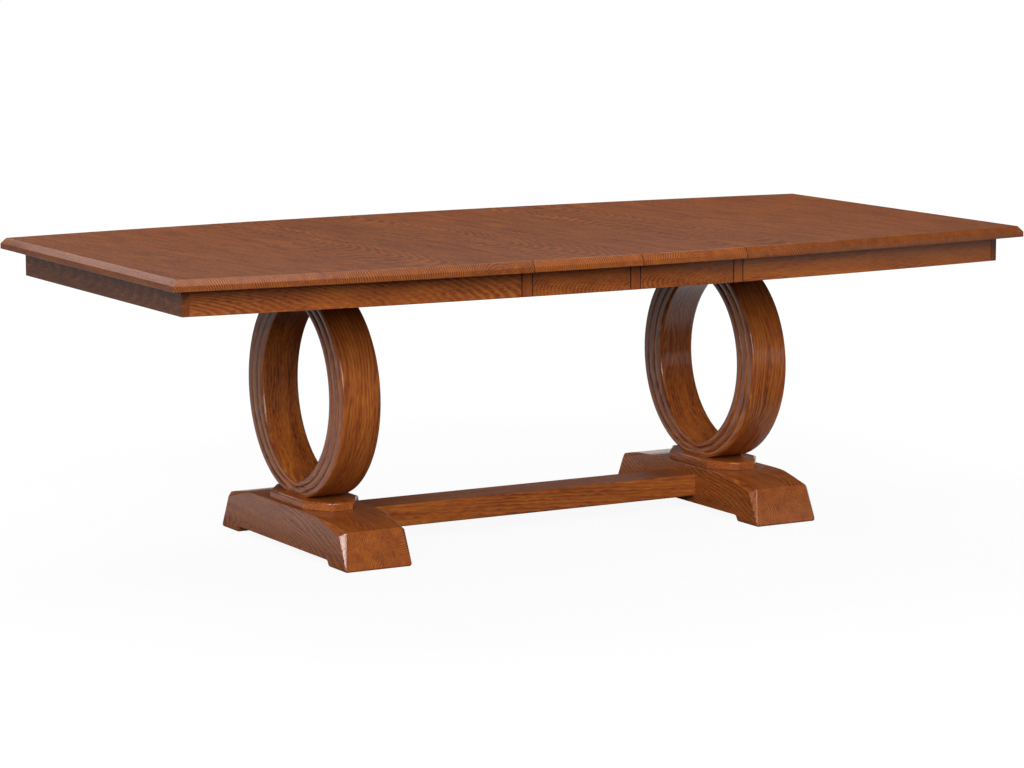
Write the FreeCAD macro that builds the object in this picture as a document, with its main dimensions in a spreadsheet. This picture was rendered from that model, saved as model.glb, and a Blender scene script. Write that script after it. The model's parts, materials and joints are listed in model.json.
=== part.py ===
import FreeCAD, Part
import Sketcher
import math
import os

# Extension dining table on a trestle base, with two leaves in place.
# Frame: +X along the table, +Y away from the front, +Z up, origin on the floor under the middle.
# Lengths are in millimetres.
DIMENSIONS = {
    "top_length": 2438,
    "top_end_width": 1067,
    "top_bow": 73,
    "table_height": 768,
    "top_thickness": 28,
    "bevel_width": 12,
    "bevel_drop": 14.5,
    "leaf_width": 305,
    "seam_gap": 0.5,
    "leaf_lift": 0.5,
    "end_overhang": 45,
    "side_overhang": 61.5,
    "apron_height": 66,
    "apron_thickness": 19,
    "stile_width": 28,
    "block_height": 42,
    "block_depth": 26,
    "corner_block": 70,
    "seam_block_length": 110,
    "seam_block_inset": 40,
    "leaf_block_length": 140,
    "pedestal_spacing": 1200,
    "foot_width": 183,
    "foot_length": 711,
    "foot_base": 1,
    "foot_height": 116,
    "foot_end_height": 95.5,
    "foot_end_slant": 27,
    "foot_flat": 300,
    "pad_length": 96,
    "relief_height": 16,
    "relief_slope": 4,
    "relief_round": 10,
    "facet_start": 205,
    "facet_width": 15,
    "facet_drop": 8.5,
    "facet_setback": 15,
    "glide_diameter": 24,
    "glide_thickness": 5,
    "glide_shank": 5,
    "glide_shank_length": 14,
    "glide_end_inset": 52,
    "glide_side_inset": 40,
    "plinth_width": 158,
    "plinth_length": 324,
    "plinth_clip_x": 52,
    "plinth_clip_y": 70,
    "plinth_thickness": 22,
    "plinth_round": 6,
    "ring_height": 526,
    "ring_depth": 107,
    "ring_outer_radius": 270,
    "ring_inner_radius": 235,
    "ring_inner_offset": 48,
    "ring_edge_round": 7,
    "groove_radius": 6,
    "groove_lift": 1.5,
    "groove_first": 0.34,
    "groove_second": 0.68,
    "dowel_diameter": 10,
    "dowel_length": 60,
    "fastener_x": 25,
    "fastener_y": 45,
    "bearer_width": 160,
    "bearer_length": 600,
    "bearer_thickness": 22,
    "lag_diameter": 8,
    "lag_head": 18,
    "lag_head_height": 6,
    "lag_well": 55,
    "lag_socket_spare": 4,
    "lag_bite": 36,
    "bearer_screw_head_height": 5,
    "bearer_screw_sink": 1,
    "stretcher_height": 58,
    "stretcher_width": 110,
    "stretcher_base": 37.5,
    "stretcher_round": 4,
    "hanger_diameter": 8,
    "hanger_reach": 58,
    "hanger_y": 22,
    "barrel_diameter": 14,
    "barrel_length": 36,
    "barrel_inset": 45,
    "rail_offset": 230,
    "rail_width": 30,
    "rail_gap": 1,
    "slide_clearance": 0.5,
    "centre_rail_length": 1440,
    "rail_outer_reach": 1120,
    "rail_inner_reach": 295,
    "tongue_level": 32,
    "tongue_height": 12,
    "tongue_depth": 10,
    "rail_bolt_diameter": 6,
    "rail_bolt_head": 13,
    "rail_bolt_head_height": 5,
    "rail_bolt_bite": 24,
    "rail_bolt_spread": 45,
    "rail_screw_diameter": 4.5,
    "rail_screw_head": 9,
    "rail_screw_head_height": 4,
    "rail_screw_well": 16,
    "rail_screw_bite": 16,
    "rail_screw_first": 400,
    "rail_screw_pitch": 220,
    "rail_screw_share": 0.667,
    "block_screw_bite": 14,
    "gear_module": 3,
    "gear_teeth": 16,
    "gear_thickness": 10,
    "gear_level": 10,
    "gear_slot_clearance": 0.5,
    "gear_tip_clearance": 1,
    "tooth_addendum": 2.7,
    "tooth_dedendum": 3.4,
    "tooth_backlash": 0.6,
    "tooth_root_sink": 0.5,
    "tooth_root_flare": 1.04,
    "tooth_tip_relief": 1.1,
    "rack_back": 10,
    "rack_teeth": 61,
    "rack_clearance": 0.2,
    "axle_diameter": 8,
    "axle_clearance": 0.05,
    "axle_head": 14,
    "axle_head_height": 3,
    "pin_diameter": 9.5,
    "pin_length": 45,
    "pin_reach": 15,
    "pin_inner": 160,
    "pin_outer": 430,
    "socket_clearance": 0.3,
    "socket_spare": 3,
    "hole_clearance": 0.1,
}

UNDERSIDE = "(dims.table_height - dims.top_thickness)"
EDGE_RADIUS = "(((dims.top_length / 2)^2 + dims.top_bow^2) / (2 * dims.top_bow))"
PLINTH_TOP = "(dims.foot_height + dims.plinth_thickness)"
RING_CENTRE = f"({PLINTH_TOP} + dims.ring_height / 2)"
RING_TOP = f"({PLINTH_TOP} + dims.ring_height)"
BEARER_TOP = f"({RING_TOP} + dims.bearer_thickness)"
PITCH_RADIUS = "(dims.gear_module * dims.gear_teeth / 2)"
TOOTH_PITCH = "(dims.gear_module * pi)"
APRON_INNER = "(dims.side_overhang + dims.apron_thickness)"
PEDESTAL_X = "(dims.pedestal_spacing / 2)"
SIDES = (("left", -1), ("right", 1))
FACES = (("front", -1), ("back", 1))
RAIL_SCREWS = 4
PRESSURE_ANGLE = 20
TOLERANCE = 1e-6
QUARTER_TURN = 90
FULL_TURN = 360

doc = FreeCAD.newDocument("trestle_table")
dims = doc.addObject("Spreadsheet::Sheet", "dims")
for row, (alias, number) in enumerate(DIMENSIONS.items(), start=1):
    dims.set(f"A{row}", alias)
    dims.set(f"B{row}", str(number))
    dims.setAlias(f"B{row}", alias)
doc.recompute()
pieces = []


def value(expression):
    """Work out an expression of sheet cells as a plain number."""
    return float(dims.evalExpression(expression))


def keep(piece, label):
    """Name a finished piece and put it on the list of sub-parts."""
    piece.Label = label
    pieces.append(piece)
    return piece


def bind(item, **expressions):
    """Bind properties of an object to expressions of sheet cells."""
    for name, expression in expressions.items():
        item.setExpression(name, expression)
    return item


def set_place(item, x="0", y="0", z="0"):
    """Bind the position of an object."""
    for axis, expression in zip("xyz", (x, y, z)):
        item.setExpression(f"Placement.Base.{axis}", expression)
    return item


def make_body(name):
    return doc.addObject("PartDesign::Body", name)


def new_sketch(body, role, offset="0"):
    """Add a sketch on one of the body's own origin planes, lifted by offset along its normal."""
    sketch = body.newObject("Sketcher::SketchObject", f"{body.Name}_sketch")
    plane = next(item for item in body.Origin.OriginFeatures if item.Role == role)
    sketch.AttachmentSupport = [(plane, "")]
    sketch.MapMode = "FlatFace"
    sketch.setExpression("AttachmentOffset.Base.z", offset)
    return sketch


def arc_between(start, end, radius, turn):
    """Minor arc from start to end; turn is 1 where it runs anticlockwise and -1 where it runs clockwise."""
    chord = end - start
    sagitta_side = FreeCAD.Vector(-chord.y, chord.x, 0).normalize()
    centre = start + chord / 2 + sagitta_side * (turn * math.sqrt(radius**2 - chord.Length**2 / 4))
    first, last = (start, end) if turn > 0 else (end, start)
    angles = [math.atan2(point.y - centre.y, point.x - centre.x) for point in (first, last)]
    if angles[1] < angles[0]:
        angles[1] += 2 * math.pi
    return Part.ArcOfCircle(Part.Circle(centre, FreeCAD.Vector(0, 0, 1), radius), *angles)


def place_corner(sketch, line, end, corner):
    """Tie a corner of an outline to its two expressions, measured from the sketch's origin."""
    for kind, expression, axis in (("DistanceX", corner[0], -2), ("DistanceY", corner[1], -1)):
        number = value(expression)
        if abs(number) < TOLERANCE:
            sketch.addConstraint(Sketcher.Constraint("PointOnObject", line, end, axis))
            continue
        index = sketch.addConstraint(Sketcher.Constraint(kind, -1, 1, line, end, number))
        sketch.setExpression(f"Constraints[{index}]", expression)


def draw_outline(sketch, corners):
    """Draw a closed outline. A corner is (x, y), or (x, y, radius, turn) where an arc leaves it."""
    points = [FreeCAD.Vector(value(corner[0]), value(corner[1]), 0) for corner in corners]
    ends = []
    for index, corner in enumerate(corners):
        start = points[index]
        end = points[(index + 1) % len(points)]
        if len(corner) == 2:
            line = sketch.addGeometry(Part.LineSegment(start, end), False)
            ends.append((line, 1, 2))
            continue
        line = sketch.addGeometry(arc_between(start, end, value(corner[2]), corner[3]), False)
        ends.append((line, 1, 2) if corner[3] > 0 else (line, 2, 1))
        radius = sketch.addConstraint(Sketcher.Constraint("Radius", line, value(corner[2])))
        sketch.setExpression(f"Constraints[{radius}]", corner[2])
    for index, (line, start_end, far_end) in enumerate(ends):
        next_line, next_start = ends[(index + 1) % len(ends)][:2]
        sketch.addConstraint(Sketcher.Constraint("Coincident", line, far_end, next_line, next_start))
    for (line, start_end, far_end), corner in zip(ends, corners):
        place_corner(sketch, line, start_end, corner)


def draw_circle(sketch, diameter):
    """Draw a circle about the sketch's origin."""
    radius = value(diameter) / 2
    circle = sketch.addGeometry(Part.Circle(FreeCAD.Vector(), FreeCAD.Vector(0, 0, 1), radius), False)
    sketch.addConstraint(Sketcher.Constraint("Coincident", circle, 3, -1, 1))
    index = sketch.addConstraint(Sketcher.Constraint("Diameter", circle, 2 * radius))
    sketch.setExpression(f"Constraints[{index}]", diameter)


def add_pad(body, sketch, length, symmetric=False):
    pad = body.newObject("PartDesign::Pad", f"{body.Name}_pad")
    pad.Profile = sketch
    pad.SideType = "Symmetric" if symmetric else "One side"
    return bind(pad, Length=length)


def extrude(name, role, corners, length, offset="0", symmetric=False):
    """Body with one padded outline."""
    body = make_body(name)
    sketch = new_sketch(body, role, offset)
    draw_outline(sketch, corners)
    add_pad(body, sketch, length, symmetric)
    doc.recompute()
    return body


def pick_edges(body, wanted):
    """Names of the edges of a body's last feature that a test accepts."""
    return [f"Edge{number}" for number, edge in enumerate(body.Tip.Shape.Edges, start=1) if wanted(edge)]


def fillet_edges(body, wanted, radius):
    """Round the edges that a test accepts."""
    base = body.Tip
    names = pick_edges(body, wanted)
    fillet = body.newObject("PartDesign::Fillet", f"{body.Name}_round")
    fillet.Base = (base, names)
    bind(fillet, Radius=radius)
    doc.recompute()
    return body


def make_box(name, size, place):
    """Box from its three sizes and its lowest corner."""
    box = doc.addObject("Part::Box", name)
    bind(box, Length=size[0], Width=size[1], Height=size[2])
    return set_place(box, *place)


TURNS = {
    "x": FreeCAD.Rotation(FreeCAD.Vector(0, 1, 0), QUARTER_TURN),
    "y": FreeCAD.Rotation(FreeCAD.Vector(1, 0, 0), -QUARTER_TURN),
    "z": FreeCAD.Rotation(),
}


def make_rod(name, axis, place, steps):
    """Turned rod along an axis, from steps of (diameter, length) that start at place."""
    cylinders = []
    along = dict(zip("xyz", place))
    for diameter, length in steps:
        cylinder = doc.addObject("Part::Cylinder", f"{name}_step")
        cylinder.Placement = FreeCAD.Placement(FreeCAD.Vector(), TURNS[axis])
        bind(cylinder, Radius=f"({diameter}) / 2", Height=length)
        set_place(cylinder, **along)
        along[axis] = f"({along[axis]}) + ({length})"
        cylinders.append(cylinder)
    if len(cylinders) == 1:
        return cylinders[0]
    rod = doc.addObject("Part::MultiFuse", name)
    rod.Shapes = cylinders
    return rod


def group(name, members):
    """Separate solids kept as one object."""
    compound = doc.addObject("Part::Compound", name)
    compound.Links = members
    return compound


def make_rods(name, axis, places, steps):
    return group(name, [make_rod(f"{name}_one", axis, place, steps) for place in places])


def cut_away(name, base, cutters):
    """Base with every cutter taken out of it."""
    cut = doc.addObject("Part::Cut", name)
    cut.Base = base
    cut.Tool = cutters[0] if len(cutters) == 1 else group(f"{name}_cutters", cutters)
    return cut


def bore(diameter):
    """Diameter of a hole that clears a rod of the given diameter all round."""
    return f"({diameter} + 2 * dims.hole_clearance)"


def edge_y(x, inset="0"):
    """Distance from the long axis to the bowed edge at x, moved in by inset."""
    centre = f"({EDGE_RADIUS} - dims.top_end_width / 2 - dims.top_bow)"
    return f"(sqrt(({EDGE_RADIUS} - {inset})^2 - ({x})^2) - {centre})"


# Feet


def foot_profile():
    """Side view of a foot, from the bottom of the front pad round to the back pad."""
    end = "(dims.foot_length / 2)"
    pad = f"({end} - dims.pad_length)"
    step = f"({pad} - dims.relief_slope)"
    relief = "(dims.foot_base + dims.relief_height)"
    shoulder = f"({end} - dims.foot_end_slant)"
    flat = "(dims.foot_flat / 2)"
    run = f"({shoulder} - {flat})"
    drop = "(dims.foot_height - dims.foot_end_height)"
    arch = f"(({run}^2 + {drop}^2) / (2 * {drop}))"
    return [
        (f"-{end}", "dims.foot_base"),
        (f"-{pad}", "dims.foot_base"),
        (f"-{step}", relief),
        (step, relief),
        (pad, "dims.foot_base"),
        (end, "dims.foot_base"),
        (shoulder, "dims.foot_end_height", arch, 1),
        (flat, "dims.foot_height"),
        (f"-{flat}", "dims.foot_height", arch, 1),
        (f"-{shoulder}", "dims.foot_end_height"),
    ]


def plane_cutter(name, points, outward):
    """Block that removes all on the outward side of the plane through three points."""
    size = value("dims.foot_length")
    first, second, third = points
    normal = (second - first).cross(third - first).normalize()
    if normal.dot(outward) < 0:
        normal = -normal
    box = doc.addObject("Part::Box", name)
    bind(box, Length="dims.foot_length", Width="dims.foot_length", Height="dims.foot_width")
    turn = FreeCAD.Rotation(FreeCAD.Vector(0, 0, 1), normal)
    middle = (first + second + third) / 3
    box.Placement = FreeCAD.Placement(middle - turn.multVec(FreeCAD.Vector(size / 2, size / 2, 0)), turn)
    return box


def corner_cutters(name, x, side, end):
    """Two planes at one corner of a foot: a long facet on the top arris and one down the upright corner."""
    half_width = value("dims.foot_width / 2")
    half_length = value("dims.foot_length / 2")
    shoulder = half_length - value("dims.foot_end_slant")
    peak = value("dims.foot_end_height")
    run = shoulder - value("dims.foot_flat / 2")
    drop = value("dims.foot_height") - peak
    arch = (run**2 + drop**2) / (2 * drop)
    from_flat = value("dims.facet_start - dims.foot_flat / 2")
    start_height = value("dims.foot_height") - arch + math.sqrt(arch**2 - from_flat**2)

    def point(across, along, height):
        return FreeCAD.Vector(x + side * across, end * along, height)

    start = point(half_width, value("dims.facet_start"), start_height)
    low = point(half_width, shoulder - value("dims.facet_setback"), peak - value("dims.facet_drop"))
    high = point(half_width - value("dims.facet_width"), shoulder, peak)
    toe = point(half_width, half_length, value("dims.foot_base"))
    outward = FreeCAD.Vector(side, end, 1)
    upper = plane_cutter(f"{name}_top_facet", (start, low, high), outward)
    return [upper, plane_cutter(f"{name}_corner_facet", (toe, low, high), outward)]


def glide_places(x):
    along = "(dims.foot_length / 2 - dims.glide_end_inset)"
    across = "(dims.foot_width / 2 - dims.glide_side_inset)"
    return [(f"{x} + {s} * {across}", f"{e} * {along}", "0") for s in (-1, 1) for e in (-1, 1)]


def fastener_places(x, z):
    """Four upright fasteners round the middle of a pedestal."""
    return [(f"{x} + {a} * dims.fastener_x", f"{b} * dims.fastener_y", z) for a in (-1, 1) for b in (-1, 1)]


def is_relief_corner(edge):
    """Edges across a foot where its relief turns down to the pads."""
    height = value("dims.foot_base + dims.relief_height")
    on_relief = abs(edge.CenterOfMass.z - height) < TOLERANCE
    return on_relief and abs(edge.Length - value("dims.foot_width")) < TOLERANCE


GLIDE_STEPS = [
    ("dims.glide_diameter", "dims.glide_thickness"),
    ("dims.glide_shank", "dims.glide_shank_length"),
]
GLIDE_BORES = [
    (bore("dims.glide_diameter"), "dims.glide_thickness"),
    (bore("dims.glide_shank"), "dims.glide_shank_length + dims.hole_clearance"),
]
LAG_START = f"({PLINTH_TOP} + dims.lag_bite)"
LAG_HEAD_TOP = "(dims.foot_base + dims.relief_height + dims.lag_well)"
HANGER_Z = "(dims.stretcher_base + dims.stretcher_height / 2)"


def build_foot(side, sign):
    x = f"({sign} * {PEDESTAL_X})"
    body = extrude(f"{side}_foot_body", "YZ_Plane", foot_profile(), "dims.foot_width", symmetric=True)
    fillet_edges(body, is_relief_corner, "dims.relief_round")
    set_place(body, x=x)
    cutters = []
    for across in (-1, 1):
        for end in (-1, 1):
            cutters += corner_cutters(f"{side}_foot", value(x), across, end)
    cutters.append(make_rods(f"{side}_glide_bores", "z", glide_places(x), GLIDE_BORES))
    wells = [
        ("dims.lag_head + dims.lag_socket_spare", LAG_HEAD_TOP),
        (bore("dims.lag_diameter"), "dims.foot_height"),
    ]
    cutters.append(make_rods(f"{side}_lag_wells", "z", fastener_places(x, "0"), wells))
    cutters.append(hanger_bores(f"{side}_foot_hanger", sign))
    return keep(cut_away(f"{side}_foot_cut", body, cutters), f"{side}_foot")


# Stretcher and its fittings

FOOT_FACE = f"({PEDESTAL_X} - dims.foot_width / 2)"


def hanger_places(sign, inset="0"):
    """Starts of the two bolts at one end of the stretcher, at their end of smaller x."""
    start = f"({sign} * {FOOT_FACE} - dims.hanger_reach - {inset})"
    return [(start, f"{b} * dims.hanger_y", HANGER_Z) for b in (-1, 1)]


def hanger_bores(name, sign):
    spare = "dims.hole_clearance"
    steps = [(bore("dims.hanger_diameter"), f"2 * (dims.hanger_reach + {spare})")]
    return make_rods(name, "x", hanger_places(sign, spare), steps)


def barrel_places(sign, z):
    x = f"({sign} * ({FOOT_FACE} - dims.barrel_inset))"
    return [(x, f"{b} * dims.hanger_y", z) for b in (-1, 1)]


def build_stretcher():
    half = "(dims.stretcher_width / 2)"
    top = "(dims.stretcher_base + dims.stretcher_height)"
    corners = [
        (f"-{half}", "dims.stretcher_base"),
        (half, "dims.stretcher_base"),
        (half, top),
        (f"-{half}", top),
    ]
    body = extrude("stretcher_body", "YZ_Plane", corners, f"2 * {FOOT_FACE}", symmetric=True)
    long_edge = value(f"2 * {FOOT_FACE}")
    fillet_edges(body, lambda edge: abs(edge.Length - long_edge) < TOLERANCE, "dims.stretcher_round")
    barrel_z = f"({HANGER_Z} - dims.barrel_length / 2)"
    barrel_step = [("dims.barrel_diameter", "dims.barrel_length")]
    wells = [(bore("dims.barrel_diameter"), f"{HANGER_Z} + dims.barrel_length / 2 + dims.hole_clearance")]
    cutters = []
    bolts = []
    nuts = []
    for side, sign in SIDES:
        cutters.append(hanger_bores(f"{side}_stretcher_hanger", sign))
        cutters.append(make_rods(f"{side}_barrel_wells", "z", barrel_places(sign, "0"), wells))
        rod = [("dims.hanger_diameter", "2 * dims.hanger_reach")]
        bolts.append(make_rods(f"{side}_hangers", "x", hanger_places(sign), rod))
        barrels = make_rods(f"{side}_barrels", "z", barrel_places(sign, barrel_z), barrel_step)
        nuts.append(cut_away(f"{side}_nuts", barrels, [hanger_bores(f"{side}_nut_hanger", sign)]))
    keep(cut_away("stretcher_cut", body, cutters), "stretcher")
    keep(group("hanger_bolts", bolts), "stretcher_hanger_bolts")
    keep(group("barrel_nuts", nuts), "stretcher_barrel_nuts")


# Plinths, rings and bearers


def build_plinth(side, sign):
    x = f"({sign} * {PEDESTAL_X})"
    wide = "(dims.plinth_width / 2)"
    deep = "(dims.plinth_length / 2)"
    near = f"({wide} - dims.plinth_clip_x)"
    far = f"({deep} - dims.plinth_clip_y)"
    corners = [
        (f"-{wide}", f"-{far}"),
        (f"-{near}", f"-{deep}"),
        (near, f"-{deep}"),
        (wide, f"-{far}"),
        (wide, far),
        (near, deep),
        (f"-{near}", deep),
        (f"-{wide}", far),
    ]
    body = extrude(f"{side}_plinth_body", "XY_Plane", corners, "dims.plinth_thickness", "dims.foot_height")
    top = value(PLINTH_TOP)
    fillet_edges(body, lambda edge: abs(edge.BoundBox.ZMin - top) < TOLERANCE, "dims.plinth_round")
    set_place(body, x=x)
    holes = [(bore("dims.lag_diameter"), PLINTH_TOP)]
    holes = make_rods(f"{side}_plinth_holes", "z", fastener_places(x, "0"), holes)
    return keep(cut_away(f"{side}_plinth_cut", body, [holes]), f"{side}_plinth")


OPENING_RISE = "sqrt(dims.ring_inner_radius^2 - dims.ring_inner_offset^2)"


def ring_profile(facing):
    """Half ring seen along X: round outside, flats at top and bottom, and a slightly pointed opening."""
    flat = "sqrt(dims.ring_outer_radius^2 - (dims.ring_height / 2)^2)"
    return [
        ("0", PLINTH_TOP),
        (f"{facing} * {flat}", PLINTH_TOP, "dims.ring_outer_radius", facing),
        (f"{facing} * {flat}", RING_TOP),
        ("0", RING_TOP),
        ("0", f"{RING_CENTRE} + {OPENING_RISE}", "dims.ring_inner_radius", -facing),
        ("0", f"{RING_CENTRE} - {OPENING_RISE}"),
    ]


def is_ring_arris(edge):
    """Curved edges where a ring's faces meet its outer and inner bands."""
    on_face = abs(abs(edge.CenterOfMass.x) - value("dims.ring_depth / 2")) < TOLERANCE
    return on_face and edge.Curve.TypeId == "Part::GeomCircle"


def groove_tools(name, x, facing):
    """Round grooves on both faces of a half ring, evenly between its inner and outer edges."""
    tools = []
    for share in ("dims.groove_first", "dims.groove_second"):
        for side in (-1, 1):
            torus = doc.addObject("Part::Torus", f"{name}_groove")
            turn = FreeCAD.Rotation(FreeCAD.Vector(1, 0, 0), -facing * QUARTER_TURN) * TURNS["x"]
            torus.Placement = FreeCAD.Placement(FreeCAD.Vector(), turn)
            span = "(dims.ring_outer_radius - dims.ring_inner_radius)"
            bind(torus, Radius1=f"dims.ring_inner_radius + {share} * {span}", Radius2="dims.groove_radius")
            centre = f"{-facing} * dims.ring_inner_offset * (1 - {share})"
            set_place(torus, f"{x} + {side} * (dims.ring_depth / 2 + dims.groove_lift)", centre, RING_CENTRE)
            tools.append(torus)
    return tools


DOWEL_RISE = f"(({OPENING_RISE} + dims.ring_height / 2) / 2)"


def dowel_places(x, spare="0"):
    start = f"(-dims.dowel_length / 2 - {spare})"
    heights = (f"{RING_CENTRE} - {DOWEL_RISE}", f"{RING_CENTRE} + {DOWEL_RISE}")
    return [(f"{x} + {a} * dims.fastener_x", start, z) for a in (-1, 1) for z in heights]


def build_rings(side, sign):
    x = f"({sign} * {PEDESTAL_X})"
    spare = "dims.hole_clearance"
    dowel_hole = [(bore("dims.dowel_diameter"), f"dims.dowel_length + 2 * {spare}")]
    lag_hole = [(bore("dims.lag_diameter"), f"{LAG_START} + {spare}")]
    screw_hole = [(bore("dims.lag_diameter"), f"dims.lag_bite + {spare}")]
    screw_start = f"({RING_TOP} - dims.lag_bite - {spare})"
    for face, facing in FACES:
        name = f"{side}_ring_{face}"
        body = extrude(f"{name}_body", "YZ_Plane", ring_profile(facing), "dims.ring_depth", symmetric=True)
        fillet_edges(body, is_ring_arris, "dims.ring_edge_round")
        set_place(body, x=x)
        cutters = groove_tools(name, x, facing)
        cutters.append(make_rods(f"{name}_dowel_holes", "y", dowel_places(x, spare), dowel_hole))
        cutters.append(make_rods(f"{name}_lag_holes", "z", fastener_places(x, "0"), lag_hole))
        cutters.append(make_rods(f"{name}_screw_holes", "z", fastener_places(x, screw_start), screw_hole))
        keep(cut_away(f"{name}_cut", body, cutters), name)


def build_bearer(side, sign):
    x = f"({sign} * {PEDESTAL_X})"
    size = ("dims.bearer_width", "dims.bearer_length", "dims.bearer_thickness")
    corner = (f"{x} - dims.bearer_width / 2", "-dims.bearer_length / 2", RING_TOP)
    board = make_box(f"{side}_bearer_board", size, corner)
    sunk = "(dims.bearer_screw_head_height + dims.bearer_screw_sink)"
    steps = [
        (bore("dims.lag_diameter"), f"dims.bearer_thickness - {sunk}"),
        (bore("dims.lag_head"), sunk),
    ]
    screw_holes = make_rods(f"{side}_bearer_holes", "z", fastener_places(x, RING_TOP), steps)
    bolt = [(bore("dims.rail_bolt_diameter"), "dims.bearer_thickness")]
    bolt_holes = make_rods(f"{side}_bearer_bolt_holes", "z", rail_bolt_places(x, RING_TOP), bolt)
    keep(cut_away(f"{side}_bearer_cut", board, [screw_holes, bolt_holes]), f"{side}_bearer")


def rail_bolt_places(x, z):
    spread = "dims.rail_bolt_spread"
    return [(f"{x} + {a} * {spread}", f"{b} * dims.rail_offset", z) for a in (-1, 1) for b in (-1, 1)]


def build_base_fasteners():
    glides, dowels, lags, screws, bolts = [], [], [], [], []
    head = ("dims.lag_head", "dims.lag_head_height")
    lag_shank = ("dims.lag_diameter", f"{LAG_START} - {LAG_HEAD_TOP}")
    lag_z = f"({LAG_HEAD_TOP} - dims.lag_head_height)"
    screw_top = f"({BEARER_TOP} - dims.bearer_screw_sink - dims.bearer_screw_head_height)"
    screw_z = f"({RING_TOP} - dims.lag_bite)"
    screw_steps = [
        ("dims.lag_diameter", f"{screw_top} - {screw_z}"),
        ("dims.lag_head", "dims.bearer_screw_head_height"),
    ]
    bolt_steps = [
        ("dims.rail_bolt_head", "dims.rail_bolt_head_height"),
        ("dims.rail_bolt_diameter", "dims.bearer_thickness + dims.rail_bolt_bite"),
    ]
    dowel_step = [("dims.dowel_diameter", "dims.dowel_length")]
    bolt_z = f"({RING_TOP} - dims.rail_bolt_head_height)"
    for side, sign in SIDES:
        x = f"({sign} * {PEDESTAL_X})"
        glides.append(make_rods(f"{side}_glides", "z", glide_places(x), GLIDE_STEPS))
        dowels.append(make_rods(f"{side}_dowels", "y", dowel_places(x), dowel_step))
        lags.append(make_rods(f"{side}_lags", "z", fastener_places(x, lag_z), [head, lag_shank]))
        screws.append(make_rods(f"{side}_bearer_screws", "z", fastener_places(x, screw_z), screw_steps))
        bolts.append(make_rods(f"{side}_rail_bolts", "z", rail_bolt_places(x, bolt_z), bolt_steps))
    keep(group("glides", glides), "floor_glides")
    keep(group("dowels", dowels), "ring_dowels")
    keep(group("lags", lags), "plinth_lag_bolts")
    keep(group("screws", screws), "bearer_screws")
    keep(group("bolts", bolts), "centre_rail_bolts")


# Slides: fixed centre rails, and side rails that carry the two halves of the top

TONGUE_LOW = f"({BEARER_TOP} + dims.tongue_level)"
TONGUE_HIGH = f"({TONGUE_LOW} + dims.tongue_height)"
GEAR_LOW = f"({BEARER_TOP} + dims.gear_level)"
SIDE_FACE = "(dims.rail_width / 2 + dims.rail_gap)"
CENTRE_TOP = f"({UNDERSIDE} - dims.slide_clearance)"
AXLE_TOP = f"({GEAR_LOW} + dims.gear_thickness + dims.gear_level / 2)"


def build_centre_rail(face, facing):
    """Fixed rail with a groove down each side, and a slot in the middle for the pinion."""
    name = f"{face}_centre_rail"
    y = f"({facing} * dims.rail_offset)"
    half = "dims.rail_width / 2"
    groove = f"({half} - (dims.tongue_depth - dims.rail_gap) - dims.slide_clearance)"
    low = f"{TONGUE_LOW} - dims.slide_clearance"
    high = f"{TONGUE_HIGH} + dims.slide_clearance"
    one_side = [
        (half, BEARER_TOP),
        (half, low),
        (groove, low),
        (groove, high),
        (half, high),
        (half, CENTRE_TOP),
    ]
    other_side = [(f"-({across})", z) for across, z in reversed(one_side)]
    corners = one_side + other_side
    body = extrude(f"{name}_body", "YZ_Plane", corners, "dims.centre_rail_length", symmetric=True)
    set_place(body, y=y)
    reach = f"({PITCH_RADIUS} + dims.tooth_addendum + dims.gear_tip_clearance)"
    spare = "dims.gear_slot_clearance"
    slot_size = (f"2 * {reach}", "dims.rail_width", f"dims.gear_thickness + 2 * {spare}")
    slot = make_box(f"{name}_slot", slot_size, (f"-{reach}", f"{y} - {half}", f"{GEAR_LOW} - {spare}"))
    axle_steps = [
        (bore("dims.axle_head"), "dims.axle_head_height"),
        (bore("dims.axle_diameter"), f"{AXLE_TOP} - {BEARER_TOP} - dims.axle_head_height"),
    ]
    axle_hole = make_rod(f"{name}_axle_hole", "z", ("0", y, BEARER_TOP), axle_steps)
    bolt = [(bore("dims.rail_bolt_diameter"), "dims.rail_bolt_bite + dims.hole_clearance")]
    places = []
    for side, sign in SIDES:
        for offset in (-1, 1):
            places.append((f"{sign} * {PEDESTAL_X} + {offset} * dims.rail_bolt_spread", y, BEARER_TOP))
    bolt_holes = make_rods(f"{name}_bolt_holes", "z", places, bolt)
    keep(cut_away(f"{name}_cut", body, [slot, axle_hole, bolt_holes]), name)


def build_axles():
    steps = [
        ("dims.axle_head", "dims.axle_head_height"),
        ("dims.axle_diameter", f"{AXLE_TOP} - {BEARER_TOP} - dims.axle_head_height - dims.hole_clearance"),
    ]
    places = [("0", f"{facing} * dims.rail_offset", BEARER_TOP) for face, facing in FACES]
    keep(make_rods("axles", "z", places, steps), "pinion_axles")


def rail_screw_places(sign, y, z):
    first = "dims.rail_screw_first"
    return [(f"{sign} * ({first} + {n} * dims.rail_screw_pitch)", y, z) for n in range(RAIL_SCREWS)]


RAIL_BASE = f"({BEARER_TOP} + dims.slide_clearance)"
RAIL_SCREW_Z = f"({RAIL_BASE} + dims.rail_screw_well)"
RAIL_SCREW_SHANK = f"({UNDERSIDE} + dims.rail_screw_bite - {RAIL_SCREW_Z} - dims.rail_screw_head_height)"


def rail_screw_y(facing, sign):
    """Line of a side rail's screws, two thirds of the way out across it."""
    distance = f"({SIDE_FACE} + dims.rail_width * dims.rail_screw_share)"
    return f"({facing} * (dims.rail_offset - {sign} * {distance}))"


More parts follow.
